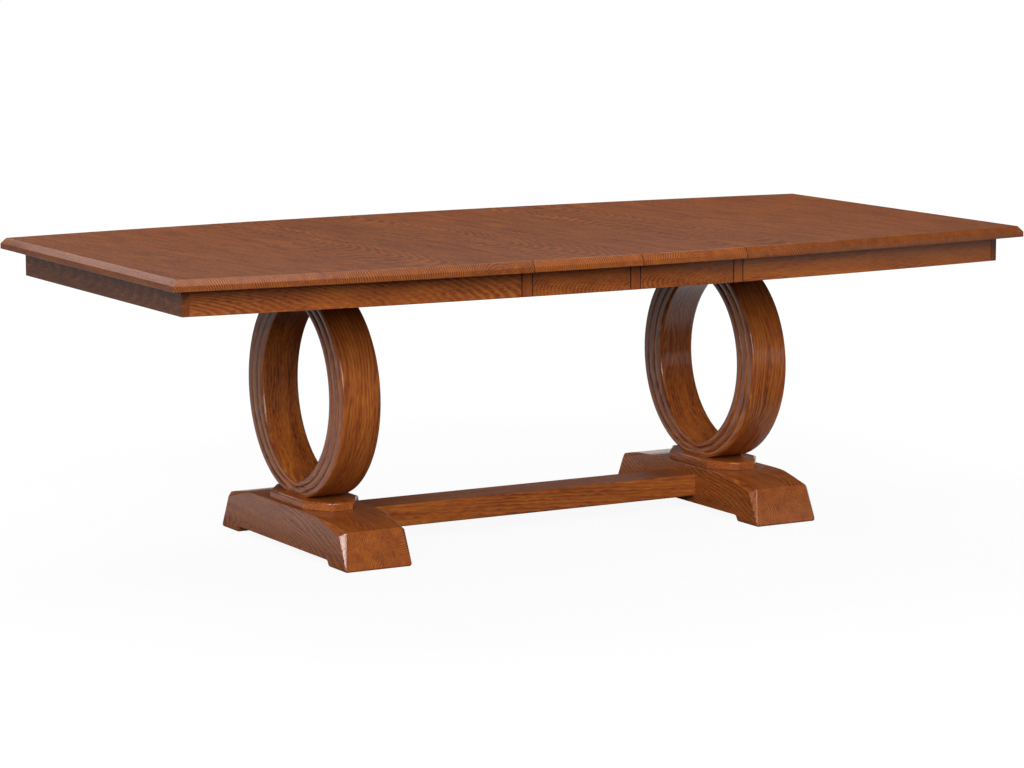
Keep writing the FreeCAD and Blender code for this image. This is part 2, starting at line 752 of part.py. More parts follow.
def build_side_rail(side, sign, face, facing):
    """Sliding rail with a tongue that runs in the centre rail and a groove for its rack."""
    name = f"{side}_{face}_rail"
    outward = -sign * facing

    def across(distance):
        return f"({outward} * ({distance}))"

    tip = f"({SIDE_FACE} - dims.tongue_depth)"
    back = f"({SIDE_FACE} + dims.rail_width)"
    corners = [
        (across(SIDE_FACE), RAIL_BASE),
        (across(back), RAIL_BASE),
        (across(back), UNDERSIDE),
        (across(SIDE_FACE), UNDERSIDE),
        (across(SIDE_FACE), TONGUE_HIGH),
        (across(tip), TONGUE_HIGH),
        (across(tip), TONGUE_LOW),
        (across(SIDE_FACE), TONGUE_LOW),
    ]
    length = "(dims.rail_outer_reach + dims.rail_inner_reach)"
    body = extrude(f"{name}_body", "YZ_Plane", corners, length, symmetric=True)
    y = f"({facing} * dims.rail_offset)"
    set_place(body, x=f"{sign} * (dims.rail_outer_reach - dims.rail_inner_reach) / 2", y=y)
    spare = "dims.rack_clearance"
    depth = f"({PITCH_RADIUS} + dims.tooth_dedendum + dims.rack_back + {spare} - {SIDE_FACE})"
    low_side = SIDE_FACE if outward > 0 else f"(-{SIDE_FACE} - {depth})"
    reach = "dims.rail_inner_reach"
    groove_size = (f"2 * {reach}", depth, f"dims.gear_thickness + 2 * {spare}")
    groove_corner = (f"-{reach}", f"{y} + {low_side}", f"{GEAR_LOW} - {spare}")
    groove = make_box(f"{name}_groove", groove_size, groove_corner)
    well = [
        (bore("dims.rail_screw_head"), "dims.rail_screw_well + dims.rail_screw_head_height"),
        (bore("dims.rail_screw_diameter"), RAIL_SCREW_SHANK),
    ]
    places = rail_screw_places(sign, rail_screw_y(facing, sign), RAIL_BASE)
    holes = make_rods(f"{name}_screw_holes", "z", places, well)
    keep(cut_away(f"{name}_cut", body, [groove, holes]), name)


def rack_tooth_gap(outward):
    """Gap between two rack teeth, from the tooth tips to the roots."""
    slope = f"tan({PRESSURE_ANGLE} deg)"
    gap = f"({TOOTH_PITCH} / 2 + dims.tooth_backlash)"
    mouth = f"({gap} / 2 + dims.tooth_addendum * {slope})"
    root = f"({gap} / 2 - dims.tooth_dedendum * {slope})"
    tips = f"({outward} * ({PITCH_RADIUS} - dims.tooth_addendum))"
    roots = f"({outward} * ({PITCH_RADIUS} + dims.tooth_dedendum))"
    return [(f"-{mouth}", tips), (mouth, tips), (root, roots), (f"-{root}", roots)]


def build_rack(side, sign, face, facing):
    """Toothed strip let into a side rail, with a gap facing the pinion at rest."""
    name = f"{side}_{face}_rack"
    outward = -sign * facing
    half = f"({TOOTH_PITCH} * dims.rack_teeth / 2)"
    tips = f"({outward} * ({PITCH_RADIUS} - dims.tooth_addendum))"
    back = f"({outward} * ({PITCH_RADIUS} + dims.tooth_dedendum + dims.rack_back))"
    strip = [(f"-{half}", tips), (half, tips), (half, back), (f"-{half}", back)]
    body = extrude(f"{name}_body", "XY_Plane", strip, "dims.gear_thickness", GEAR_LOW)
    sketch = new_sketch(body, "XY_Plane", GEAR_LOW)
    first = f"({TOOTH_PITCH} * (dims.rack_teeth - 1) / 2)"
    draw_outline(sketch, [(f"({x} - {first})", y) for x, y in rack_tooth_gap(outward)])
    pocket = body.newObject("PartDesign::Pocket", f"{name}_gap")
    pocket.Profile = sketch
    pocket.Type = "ThroughAll"
    pocket.Reversed = True
    pattern = body.newObject("PartDesign::LinearPattern", f"{name}_gaps")
    pattern.Originals = [pocket]
    axis = next(item for item in body.Origin.OriginFeatures if item.Role == "X_Axis")
    pattern.Direction = (axis, [""])
    bind(pattern, Length=f"{TOOTH_PITCH} * (dims.rack_teeth - 1)", Occurrences="dims.rack_teeth")
    body.Tip = pattern
    set_place(body, y=f"{facing} * dims.rail_offset")
    keep(body, name)


def pinion_tooth():
    """One tooth that points along Y, with flanks bent at the pitch circle."""
    root = f"({PITCH_RADIUS} - dims.tooth_dedendum - dims.tooth_root_sink)"
    tip = f"({PITCH_RADIUS} + dims.tooth_addendum)"
    pitch_half = f"(({TOOTH_PITCH} / 2 - dims.tooth_backlash) / 2)"
    tip_half = f"({pitch_half} - dims.tooth_addendum * tan({PRESSURE_ANGLE} deg) * dims.tooth_tip_relief)"
    root_half = f"({pitch_half} * dims.tooth_root_flare)"
    right = [(root_half, root), (pitch_half, PITCH_RADIUS), (tip_half, tip)]
    left = [(f"-{across}", height) for across, height in reversed(right)]
    return right + left


def build_pinion(face, facing):
    """Spur gear on an upright axle, in mesh with the racks on both sides of it."""
    name = f"{face}_pinion"
    body = make_body(f"{name}_body")
    blank = new_sketch(body, "XY_Plane", GEAR_LOW)
    draw_circle(blank, f"2 * ({PITCH_RADIUS} - dims.tooth_dedendum)")
    draw_circle(blank, "dims.axle_diameter + 2 * dims.axle_clearance")
    add_pad(body, blank, "dims.gear_thickness")
    sketch = new_sketch(body, "XY_Plane", GEAR_LOW)
    draw_outline(sketch, pinion_tooth())
    tooth = add_pad(body, sketch, "dims.gear_thickness")
    pattern = body.newObject("PartDesign::PolarPattern", f"{name}_teeth")
    pattern.Originals = [tooth]
    axis = next(item for item in body.Origin.OriginFeatures if item.Role == "Z_Axis")
    pattern.Axis = (axis, [""])
    pattern.Angle = FULL_TURN
    bind(pattern, Occurrences="dims.gear_teeth")
    body.Tip = pattern
    set_place(body, y=f"{facing} * dims.rail_offset")
    keep(body, name)


# Top boards, aprons and leaves

LEAF_EDGE = "(dims.leaf_width + dims.seam_gap / 2)"
TOP_END = "(dims.top_length / 2)"
APRON_END = f"({TOP_END} - dims.end_overhang)"
APRON_END_INNER = f"({APRON_END} - dims.apron_thickness)"
APRON_LOW = f"({UNDERSIDE} - dims.apron_height)"
PIN_Z = f"({UNDERSIDE} + dims.top_thickness / 2)"


def board_outline(low, high):
    """Boat-shaped stretch of the top between two lines across it."""
    return [
        (low, f"-{edge_y(low)}", EDGE_RADIUS, 1),
        (high, f"-{edge_y(high)}"),
        (high, edge_y(high), EDGE_RADIUS, 1),
        (low, edge_y(low)),
    ]


def bevelled_board(name, low, high, base, thickness, seams):
    """Board with its top edge bevelled, but not along the seams."""
    body = extrude(f"{name}_body", "XY_Plane", board_outline(low, high), thickness, base)
    top = value("dims.table_height")
    seam_lines = [value(seam) for seam in seams]

    def is_outer_arris(edge):
        box = edge.BoundBox
        on_seam = any(abs(box.XMin - x) < TOLERANCE and abs(box.XMax - x) < TOLERANCE for x in seam_lines)
        return abs(box.ZMin - top) < TOLERANCE and not on_seam

    base_feature = body.Tip
    names = pick_edges(body, is_outer_arris)
    chamfer = body.newObject("PartDesign::Chamfer", f"{name}_bevel")
    chamfer.Base = (base_feature, names)
    chamfer.ChamferType = "Two distances"
    chamfer.FlipDirection = True
    bind(chamfer, Size="dims.bevel_width", Size2="dims.bevel_drop")
    doc.recompute()
    return body


def apron_strip(name, low, high, facing, inset, thickness, height):
    """Bowed strip under the top, from inset inwards, hanging down by height."""
    inner = f"({inset} + {thickness})"

    def corner(x, depth):
        return (x, f"({facing} * {edge_y(x, depth)})")

    corners = [
        corner(low, inset) + (f"({EDGE_RADIUS} - {inset})", -facing),
        corner(high, inset),
        corner(high, inner) + (f"({EDGE_RADIUS} - {inner})", facing),
        corner(low, inner),
    ]
    return extrude(f"{name}_body", "XY_Plane", corners, height, f"({UNDERSIDE} - {height})")


def make_apron(name, low, high, facing):
    inset = "dims.side_overhang"
    return apron_strip(name, low, high, facing, inset, "dims.apron_thickness", "dims.apron_height")


def make_block(name, low, high, facing):
    """Glue block in the angle between an apron and the top."""
    return apron_strip(name, low, high, facing, APRON_INNER, "dims.block_depth", "dims.block_height")


def corner_block(name, sign, facing):
    """Three-sided glue block where a long apron meets an end apron."""
    end = f"({sign} * {APRON_END_INNER})"
    start = f"({sign} * ({APRON_END_INNER} - dims.corner_block))"
    radius = f"({EDGE_RADIUS} - {APRON_INNER})"
    corners = [
        (start, f"({facing} * {edge_y(start, APRON_INNER)})", radius, -sign * facing),
        (end, f"({facing} * {edge_y(end, APRON_INNER)})"),
        (end, f"({facing} * ({edge_y(end, APRON_INNER)} - dims.corner_block))"),
    ]
    base = f"({UNDERSIDE} - dims.block_height)"
    return extrude(f"{name}_body", "XY_Plane", corners, "dims.block_height", base)


def end_apron_outline(sign):
    outer = f"({sign} * {APRON_END})"
    inner = f"({sign} * {APRON_END_INNER})"
    inset = "dims.side_overhang"
    radius = f"({EDGE_RADIUS} - {inset})"
    return [
        (outer, f"-{edge_y(outer, inset)}", radius, -sign),
        (inner, f"-{edge_y(inner, inset)}"),
        (inner, edge_y(inner, inset), radius, -sign),
        (outer, edge_y(outer, inset)),
    ]


def pin_places(x):
    return [(x, f"{b} * {y}", PIN_Z) for b in (-1, 1) for y in ("dims.pin_inner", "dims.pin_outer")]


def make_pins(label, seam):
    """Alignment pins that stand out of an edge across the seam."""
    start = f"({seam} - dims.seam_gap / 2 - dims.pin_length + dims.pin_reach)"
    steps = [("dims.pin_diameter", "dims.pin_length")]
    keep(make_rods(f"{label}_rods", "x", pin_places(start), steps), label)


def pin_holes(name, seam):
    """Holes for the pins in the edge that they are glued into."""
    spare = "dims.hole_clearance"
    start = f"({seam} - dims.seam_gap / 2 - dims.pin_length + dims.pin_reach - {spare})"
    length = f"(dims.pin_length - dims.pin_reach + {spare})"
    return make_rods(name, "x", pin_places(start), [(bore("dims.pin_diameter"), length)])


def sockets(name, seam):
    """Holes for the pins in the edge that they slip into."""
    wide = "(dims.pin_diameter + 2 * dims.socket_clearance)"
    start = f"({seam} + dims.seam_gap / 2)"
    return make_rods(name, "x", pin_places(start), [(wide, "dims.pin_reach + dims.socket_spare")])


BLOCK_SCREW_Z = f"({UNDERSIDE} - dims.block_height)"
BLOCK_SCREW_STEPS = [
    ("dims.rail_screw_head", "dims.rail_screw_head_height"),
    ("dims.rail_screw_diameter", "dims.block_height - dims.rail_screw_head_height + dims.block_screw_bite"),
]
BLOCK_HOLE_STEPS = [
    (bore("dims.rail_screw_head"), "dims.rail_screw_head_height"),
    (
        bore("dims.rail_screw_diameter"),
        "dims.block_height - dims.rail_screw_head_height + dims.block_screw_bite + dims.hole_clearance",
    ),
]


def block_screw_places(sign):
    """One screw in the middle of each glue block of a half."""
    depth = f"({APRON_INNER} + dims.block_depth / 2)"
    seam_x = f"({sign} * ({LEAF_EDGE} + dims.seam_block_inset + dims.seam_block_length / 2))"
    corner_x = f"({sign} * ({APRON_END_INNER} - dims.corner_block / 4))"
    places = []
    for face, facing in FACES:
        places.append((seam_x, f"({facing} * {edge_y(seam_x, depth)})", BLOCK_SCREW_Z))
        corner_y = f"({edge_y(corner_x, APRON_INNER)} - dims.corner_block / 4)"
        places.append((corner_x, f"({facing} * {corner_y})", BLOCK_SCREW_Z))
    return places


def build_half(side, sign):
    """One half of the top, with its aprons, blocks, screws and pins."""
    seam = f"({sign} * dims.leaf_width)"
    edge = f"({sign} * {LEAF_EDGE})"
    end = f"({sign} * {TOP_END})"
    low, high = (end, edge) if sign < 0 else (edge, end)
    board = bevelled_board(f"{side}_top_board", low, high, UNDERSIDE, "dims.top_thickness", [edge])
    rail_hole = [(bore("dims.rail_screw_diameter"), "dims.rail_screw_bite + dims.hole_clearance")]
    cutters = []
    for face, facing in FACES:
        places = rail_screw_places(sign, rail_screw_y(facing, sign), UNDERSIDE)
        cutters.append(make_rods(f"{side}_{face}_board_holes", "z", places, rail_hole))
    cutters.append(make_rods(f"{side}_block_holes", "z", block_screw_places(sign), BLOCK_HOLE_STEPS))
    cutters.append(pin_holes(f"{side}_pin_holes", seam) if sign < 0 else sockets(f"{side}_sockets", seam))
    keep(cut_away(f"{side}_top_board_cut", board, cutters), f"{side}_top_board")
    build_half_aprons(side, sign, edge)
    build_half_blocks(side, sign)
    if sign < 0:
        make_pins("left_top_pins", seam)


def build_half_aprons(side, sign, edge):
    """Two long aprons, lapped at their outer ends by an end apron; the right ones start with a stile."""
    outline = end_apron_outline(sign)
    end_apron = extrude(f"{side}_end_apron_body", "XY_Plane", outline, "dims.apron_height", APRON_LOW)
    keep(end_apron, f"{side}_end_apron")
    end = f"({sign} * {APRON_END_INNER})"
    start = edge if sign < 0 else f"({edge} + dims.stile_width)"
    low, high = (end, start) if sign < 0 else (start, end)
    for face, facing in FACES:
        name = f"{side}_{face}_apron"
        keep(make_apron(name, low, high, facing), name)
    if sign > 0:
        stiles = [make_apron(f"{side}_{face}_stile", edge, start, facing) for face, facing in FACES]
        keep(group(f"{side}_stiles", stiles), f"{side}_apron_stiles")


def build_half_blocks(side, sign):
    blocks = []
    near = f"({sign} * ({LEAF_EDGE} + dims.seam_block_inset))"
    far = f"({sign} * ({LEAF_EDGE} + dims.seam_block_inset + dims.seam_block_length))"
    low, high = (far, near) if sign < 0 else (near, far)
    for face, facing in FACES:
        blocks.append(make_block(f"{side}_{face}_seam_block", low, high, facing))
        blocks.append(corner_block(f"{side}_{face}_corner_block", sign, facing))
    holes = make_rods(f"{side}_block_bores", "z", block_screw_places(sign), BLOCK_HOLE_STEPS)
    all_blocks = group(f"{side}_all_blocks", blocks)
    keep(cut_away(f"{side}_blocks_cut", all_blocks, [holes]), f"{side}_apron_blocks")
    screws = make_rods(f"{side}_block_rods", "z", block_screw_places(sign), BLOCK_SCREW_STEPS)
    keep(screws, f"{side}_block_screws")


def build_rail_screws(side, sign):
    steps = [
        ("dims.rail_screw_head", "dims.rail_screw_head_height"),
        ("dims.rail_screw_diameter", RAIL_SCREW_SHANK),
    ]
    screws = []
    for face, facing in FACES:
        places = rail_screw_places(sign, rail_screw_y(facing, sign), RAIL_SCREW_Z)
        screws.append(make_rods(f"{side}_{face}_rail_rods", "z", places, steps))
    keep(group(f"{side}_rail_rods", screws), f"{side}_rail_screws")


def build_leaf(side, sign):
    """Leaf with its own aprons; its pins stand out of the edge towards +X."""
    name = f"{side}_leaf"
    inner = "(dims.seam_gap / 2)"
    outer = "(dims.leaf_width - dims.seam_gap / 2)"
    low, high = (f"(-{outer})", f"(-{inner})") if sign < 0 else (inner, outer)
    low_seam, high_seam = ("(-dims.leaf_width)", "0") if sign < 0 else ("0", "dims.leaf_width")
    base = f"({UNDERSIDE} + dims.leaf_lift)"
    board = bevelled_board(name, low, high, base, "dims.top_thickness - dims.leaf_lift", [low, high])
    cutters = [sockets(f"{name}_sockets", low_seam), pin_holes(f"{name}_pin_holes", high_seam)]
    keep(cut_away(f"{name}_cut", board, cutters), f"{name}_board")
    joint = f"({low} + dims.stile_width)"
    middle = f"(({low} + {high}) / 2)"
    half_block = "dims.leaf_block_length / 2"
    stiles = []
    blocks = []
    for face, facing in FACES:
        stiles.append(make_apron(f"{name}_{face}_stile", low, joint, facing))
        keep(make_apron(f"{name}_{face}_apron", joint, high, facing), f"{name}_{face}_apron")
        ends = (f"({middle} - {half_block})", f"({middle} + {half_block})")
        blocks.append(make_block(f"{name}_{face}_block", *ends, facing))
    keep(group(f"{name}_all_stiles", stiles), f"{name}_stiles")
    keep(group(f"{name}_all_blocks", blocks), f"{name}_blocks")
    make_pins(f"{name}_pins", high_seam)


def build_table():
    for side, sign in SIDES:
        build_foot(side, sign)
        build_plinth(side, sign)
        build_rings(side, sign)
        build_bearer(side, sign)
    build_stretcher()
    build_base_fasteners()
    for face, facing in FACES:
        build_centre_rail(face, facing)
        build_pinion(face, facing)
    build_axles()
    for side, sign in SIDES:
        build_half(side, sign)
        for face, facing in FACES:
            build_side_rail(side, sign, face, facing)
            build_rack(side, sign, face, facing)
        build_rail_screws(side, sign)
        build_leaf(side, sign)


def check_document():
    """Stop on any failed object and on any empty or invalid shape."""
    for item in doc.Objects:
        if "Invalid" in item.State or "Error" in item.State:
            raise RuntimeError(f"{item.Label} failed: {item.State}")
    for piece in pieces:
        if piece.Shape.isNull() or not piece.Shape.isValid() or not piece.Shape.Solids:
            raise RuntimeError(f"{piece.Label} has no valid solid")


build_table()
doc.recompute()
check_document()
os.makedirs("parts", exist_ok=True)
for piece in pieces:
    piece.Shape.exportStep(f"parts/{piece.Label}.step")
print(len(pieces), "sub-parts,", sum(len(piece.Shape.Solids) for piece in pieces), "solids")
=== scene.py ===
# %% [markdown]
# # A trestle dining table in stained oak
#
# The frame holds every piece of the table at its real size: two ring pedestals on cross feet, a
# stretcher, geared slides, and a boat-shaped top in two halves with two leaves between them. This
# lesson gives those pieces their finish. What Blender adds is what a finisher's hand adds: arrises
# eased with sandpaper, crisp beads on the mouldings, stain that shows the growth rings of the wood,
# and a coat of lacquer.

# %% Load the frame
import itertools
import json
import math

import bmesh
import bpy
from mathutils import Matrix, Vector


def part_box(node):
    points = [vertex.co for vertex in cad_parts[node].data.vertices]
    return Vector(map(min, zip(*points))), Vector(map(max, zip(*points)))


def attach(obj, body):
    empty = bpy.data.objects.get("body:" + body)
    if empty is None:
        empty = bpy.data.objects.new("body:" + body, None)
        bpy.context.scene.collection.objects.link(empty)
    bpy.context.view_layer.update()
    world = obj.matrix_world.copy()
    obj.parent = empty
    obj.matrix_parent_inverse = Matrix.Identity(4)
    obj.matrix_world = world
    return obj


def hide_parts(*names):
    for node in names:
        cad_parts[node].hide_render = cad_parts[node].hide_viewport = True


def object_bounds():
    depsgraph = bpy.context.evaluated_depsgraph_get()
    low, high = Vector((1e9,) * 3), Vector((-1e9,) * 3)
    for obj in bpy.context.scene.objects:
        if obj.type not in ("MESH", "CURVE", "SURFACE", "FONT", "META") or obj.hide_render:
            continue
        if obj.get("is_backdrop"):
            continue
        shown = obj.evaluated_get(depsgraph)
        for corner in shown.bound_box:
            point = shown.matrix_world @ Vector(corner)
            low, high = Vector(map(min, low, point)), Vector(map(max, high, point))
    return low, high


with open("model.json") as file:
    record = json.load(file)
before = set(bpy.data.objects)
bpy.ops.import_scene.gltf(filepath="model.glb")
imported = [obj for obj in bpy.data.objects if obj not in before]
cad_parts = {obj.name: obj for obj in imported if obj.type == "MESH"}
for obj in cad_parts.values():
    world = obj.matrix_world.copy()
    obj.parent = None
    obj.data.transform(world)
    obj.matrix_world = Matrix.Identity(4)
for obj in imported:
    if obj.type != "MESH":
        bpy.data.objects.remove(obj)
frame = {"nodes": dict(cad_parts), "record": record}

MM = 0.001
cad_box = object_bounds()
record = frame["record"]
bodies = record["behaviour"]["bodies"]
body_of_node = {node: body for body, nodes in bodies.items() for node in nodes}
slot_of_node = {row["node"]: row["material_slot"] for row in record["subparts"]}
print("pieces in the frame:", len(frame["nodes"]))
print("length, width and height in mm:", [round(side / MM) for side in cad_box[1] - cad_box[0]])

# %% [markdown]
# ## Three small helpers
#
# Colours are written the way a paint chart writes them, as sRGB hex values. Shader sockets expect
# linear light, so one function converts them. A second function adds a shader node, sets its
# options and links its inputs, which keeps each material short enough to read. The third starts a
# material and hands back its tree.


# %% Colour and node helpers
def linear(hex_colour):
    """Turn an sRGB hex colour into the linear RGBA that a shader socket expects."""
    channels = [int(hex_colour[start:start + 2], 16) / 255 for start in (1, 3, 5)]
    return (*[c / 12.92 if c <= 0.04045 else ((c + 0.055) / 1.055) ** 2.4 for c in channels], 1.0)


def add_node(tree, kind, inputs=(), stops=(), **options):
    """Add a node, set its options, fill or link its inputs, and place the stops of its ramp."""
    node = tree.nodes.new(kind)
    for option, choice in options.items():
        setattr(node, option, choice)
    for socket, source in dict(inputs).items():
        if isinstance(source, bpy.types.NodeSocket):
            tree.links.new(source, node.inputs[socket])
        else:
            node.inputs[socket].default_value = source
    for index, (position, colour) in enumerate(stops):
        ramp = node.color_ramp.elements
        stop = ramp[index] if index < len(ramp) else ramp.new(position)
        stop.position = position
        stop.color = colour
    return node


def start_material(name):
    """New material with an empty tree apart from its surface shader."""
    material = bpy.data.materials.new(name)
    material.use_nodes = True
    return material, material.node_tree, material.node_tree.nodes["Principled BSDF"]


print("a mid grey in linear light:", [round(channel, 3) for channel in linear("#808080")])

# %% [markdown]
# ## Wood as a solid
#
# Wood is not a picture glued to a board. A trunk is a stack of cones, one for each year, and a saw
# cuts through them. So the shader asks one question at every point: how far is it from the pith,
# the middle of the trunk? That distance, bent a little by noise that changes slowly along the
# grain, gives arches on a plain-sawn face, straight lines on an edge and curved lines on end grain,
# all from one formula, and they meet correctly round every corner.
#
# A finish names its wood and says how it was worked. Sizes are in millimetres on the real table.
# The rings are ring_width apart and stand out by ring_share. They bend over bend_size and ripple
# over ripple_size, feather where pores cross them, and fade in and out over flame_size. The
# contrast is that of the streaks and pores between them.

# %% Stained oak
# Plain-sawn oak: a red-brown stain sinks into the open pores of the early wood and leaves the dense
# late wood golden, as thin lines; a sprayed lacquer over it gives a soft shine. Real pores are a
# third of a millimetre wide, too fine to show here, so they are drawn 3 mm wide.
STAINED_OAK = {
    "dark": "#5D2D12",
    "mid": "#89451E",
    "light": "#9B5420",
    "gold": "#B86C28",
    "ring_width": 7.0,
    "ring_share": 0.55,
    "bend": 16,
    "bend_size": 150,
    "ripple": 6.0,
    "ripple_size": 12,
    "feather": 6.0,
    "flame_size": 60,
    "streak_size": 22,
    "pore_size": 3.0,
    "contrast": 1.2,
    "roughness": (0.44, 0.36),
    "lacquer": 0.5,
    "relief": 0.05,
}
print("a growth ring of this oak is", STAINED_OAK["ring_width"], "mm wide")

# %% [markdown]
# ## Where the pith lies
#
# A Mapping node moves the pith to where each board was cut from its trunk and turns the grain along
# local Z. A few degrees of lean matter as much as the place: a pith that leans towards the face of
# a board cuts through the rings one after another, which draws the row of arches that plain-sawn
# oak is known for. The arches lie one ring width, divided by the tangent of the lean, apart.
#
# A board that is glued up from two has a second pith beyond its glue line. Every board is cut from
# its own length of trunk, so no two show the same figure. The bow of a curved apron is taken out
# first, because such aprons are bent, so their grain follows the curve. The half rings of the
# pedestals are bent from thin laminations, so their place is unrolled in the same way.

# %% Coordinates of a board
GRAIN_TURNS = {"X": (0, 90, 0), "Y": (-90, 0, 0), "Z": (0, 0, 0)}
LENGTH_OF_TRUNK = 3.0
trunk = itertools.count(1)


def straightened(tree, place, bow):
    """Place with the bow of the table's long sides taken out."""
    apart = add_node(tree, "ShaderNodeSeparateXYZ", {0: place}).outputs
    square = {0: apart["X"], 1: 2}
    square = add_node(tree, "ShaderNodeMath", square, operation="POWER").outputs[0]
    level = {0: square, 1: bow, 2: apart["Y"]}
    level = add_node(tree, "ShaderNodeMath", level, operation="MULTIPLY_ADD").outputs[0]
    parts = {"X": apart["X"], "Y": level, "Z": apart["Z"]}
    return add_node(tree, "ShaderNodeCombineXYZ", parts).outputs[0]


def unrolled(tree, place, height, radius):
    """Place on a ring that stands across the table, rolled out flat: across, outwards, round it."""
    apart = add_node(tree, "ShaderNodeSeparateXYZ", {0: place}).outputs
    rise = {0: apart["Z"], 1: height}
    rise = add_node(tree, "ShaderNodeMath", rise, operation="SUBTRACT").outputs[0]
    flat = add_node(tree, "ShaderNodeCombineXYZ", {"X": apart["Y"], "Y": rise}).outputs[0]
    out = add_node(tree, "ShaderNodeVectorMath", {0: flat}, operation="LENGTH").outputs["Value"]
    side = add_node(tree, "ShaderNodeMath", {0: apart["Y"]}, operation="ABSOLUTE").outputs[0]
    turn = add_node(tree, "ShaderNodeMath", {0: rise, 1: side}, operation="ARCTAN2").outputs[0]
    arc = add_node(tree, "ShaderNodeMath", {0: turn, 1: radius}, operation="MULTIPLY").outputs[0]
    parts = {"X": apart["X"], "Y": out, "Z": arc}
    return add_node(tree, "ShaderNodeCombineXYZ", parts).outputs[0]


def from_pith(tree, place, along, pith, lean):
    """Place measured from the pith, with the grain along local Z."""
    turn = [math.radians(turn + tilt) for turn, tilt in zip(GRAIN_TURNS[along], lean)]
    turned = {"Vector": place, "Location": pith, "Rotation": turn}
    turned = add_node(tree, "ShaderNodeMapping", turned, vector_type="TEXTURE").outputs[0]
    length = {0: turned, 1: (0, 0, LENGTH_OF_TRUNK * next(trunk))}
    return add_node(tree, "ShaderNodeVectorMath", length, operation="ADD").outputs[0]


def beyond(tree, place, glue_line):
    """1 on the right of a glue line and 0 on its left."""
    apart = add_node(tree, "ShaderNodeSeparateXYZ", {0: place})
    past = {0: apart.outputs["X"], 1: glue_line}
    return add_node(tree, "ShaderNodeMath", past, operation="GREATER_THAN").outputs[0]


print("grain can run along", sorted(GRAIN_TURNS))

# %% [markdown]
# ## Rings and pores
#
# The distance from the pith, divided by the ring width, counts the years, and its fraction is the
# season. A ramp turns the season into a tone: low in the open spring wood, high in the dense late
# wood. The pores, long thin vessels, also push the ring to and fro, which feathers its edge along
# the grain. Streaks are mixed in, and a slow noise lets the figure fade in and out like flames.

# %% Tone of the grain
# How far each feature is stretched along the grain, and its octaves of detail.
FEATURES = {"bend": (4, 0), "ripple": (6, 2), "pore": (9, 1), "streak": (14, 3), "flame": (5, 1)}
# Tone at each share of a year.
YEAR_TONES = ((0.0, 0.25), (0.3, 0.2), (0.55, 0.6), (0.75, 0.92), (0.9, 0.55), (1.0, 0.25))
MIDDLE_TONE = 0.5
PORE_SHARE = 0.5
FLAME_EDGES = (0.38, 0.62)
FAINTEST_FLAME = 0.35


def grain_tone(tree, local, finish):
    """Tone of the wood at every point, from the darkest pores to the palest late wood."""

    def feature(kind):
        """Cloud with a size across the grain, stretched along it."""
        stretch, detail = FEATURES[kind]
        drawn = {0: local, 1: (1, 1, 1 / stretch)}
        drawn = add_node(tree, "ShaderNodeVectorMath", drawn, operation="MULTIPLY").outputs[0]
        look = {"Vector": drawn, "Scale": 1 / (finish[f"{kind}_size"] * MM), "Detail": detail}
        return add_node(tree, "ShaderNodeTexNoise", look).outputs["Fac"]

    across = {0: local, 1: (1, 1, 0)}
    across = add_node(tree, "ShaderNodeVectorMath", across, operation="MULTIPLY").outputs[0]
    out = add_node(tree, "ShaderNodeVectorMath", {0: across}, operation="LENGTH").outputs["Value"]
    pores = feature("pore")
    pushes = {"bend": feature("bend"), "ripple": feature("ripple"), "feather": pores}
    for push, cloud in pushes.items():
        pushed = {0: cloud, 1: finish[push] * MM, 2: out}
        out = add_node(tree, "ShaderNodeMath", pushed, operation="MULTIPLY_ADD").outputs[0]
    years = {0: out, 1: finish["ring_width"] * MM}
    years = add_node(tree, "ShaderNodeMath", years, operation="DIVIDE").outputs[0]
    season = add_node(tree, "ShaderNodeMath", {0: years}, operation="FRACT").outputs[0]
    tones = [(share, (tone, tone, tone, 1)) for share, tone in YEAR_TONES]
    ring = add_node(tree, "ShaderNodeValToRGB", {"Fac": season}, tones).outputs["Color"]
    fine = {"Factor": PORE_SHARE, "A": feature("streak"), "B": pores}
    fine = add_node(tree, "ShaderNodeMix", fine, data_type="FLOAT").outputs["Result"]
    reach = MIDDLE_TONE / finish["contrast"]
    span = {"Value": fine, "From Min": MIDDLE_TONE - reach, "From Max": MIDDLE_TONE + reach}
    grain = add_node(tree, "ShaderNodeMapRange", span).outputs["Result"]
    flame = {
        "Value": feature("flame"),
        "From Min": FLAME_EDGES[0],
        "From Max": FLAME_EDGES[1],
        "To Min": FAINTEST_FLAME * finish["ring_share"],
        "To Max": finish["ring_share"],
    }
    strength = add_node(tree, "ShaderNodeMapRange", flame).outputs["Result"]
    blend = {"Factor": strength, "A": grain, "B": ring}
    return add_node(tree, "ShaderNodeMix", blend, data_type="FLOAT").outputs["Result"]


print("tones of a year, from winter to winter:", [tone for share, tone in YEAR_TONES])

# %% [markdown]
# ## Stain and lacquer
#
# The stain takes dark in the open wood and stays golden in the dense wood, so the tone picks the
# colour. The same tone drives the gloss and a very shallow relief, so that the pores are a little
# duller and lower than the wood between them. Lacquer is a clear coat on top. The second board of a
# glued-up half takes the stain a shade differently from the first.

# %% The wood material
# Tone at which each colour of a finish is reached.
COLOUR_STOPS = ((0.26, "dark"), (0.43, "mid"), (0.58, "light"), (0.82, "gold"))
LACQUER_ROUGHNESS = 0.12
SPECULAR = 0.28
RELIEF_STRENGTH = 0.35


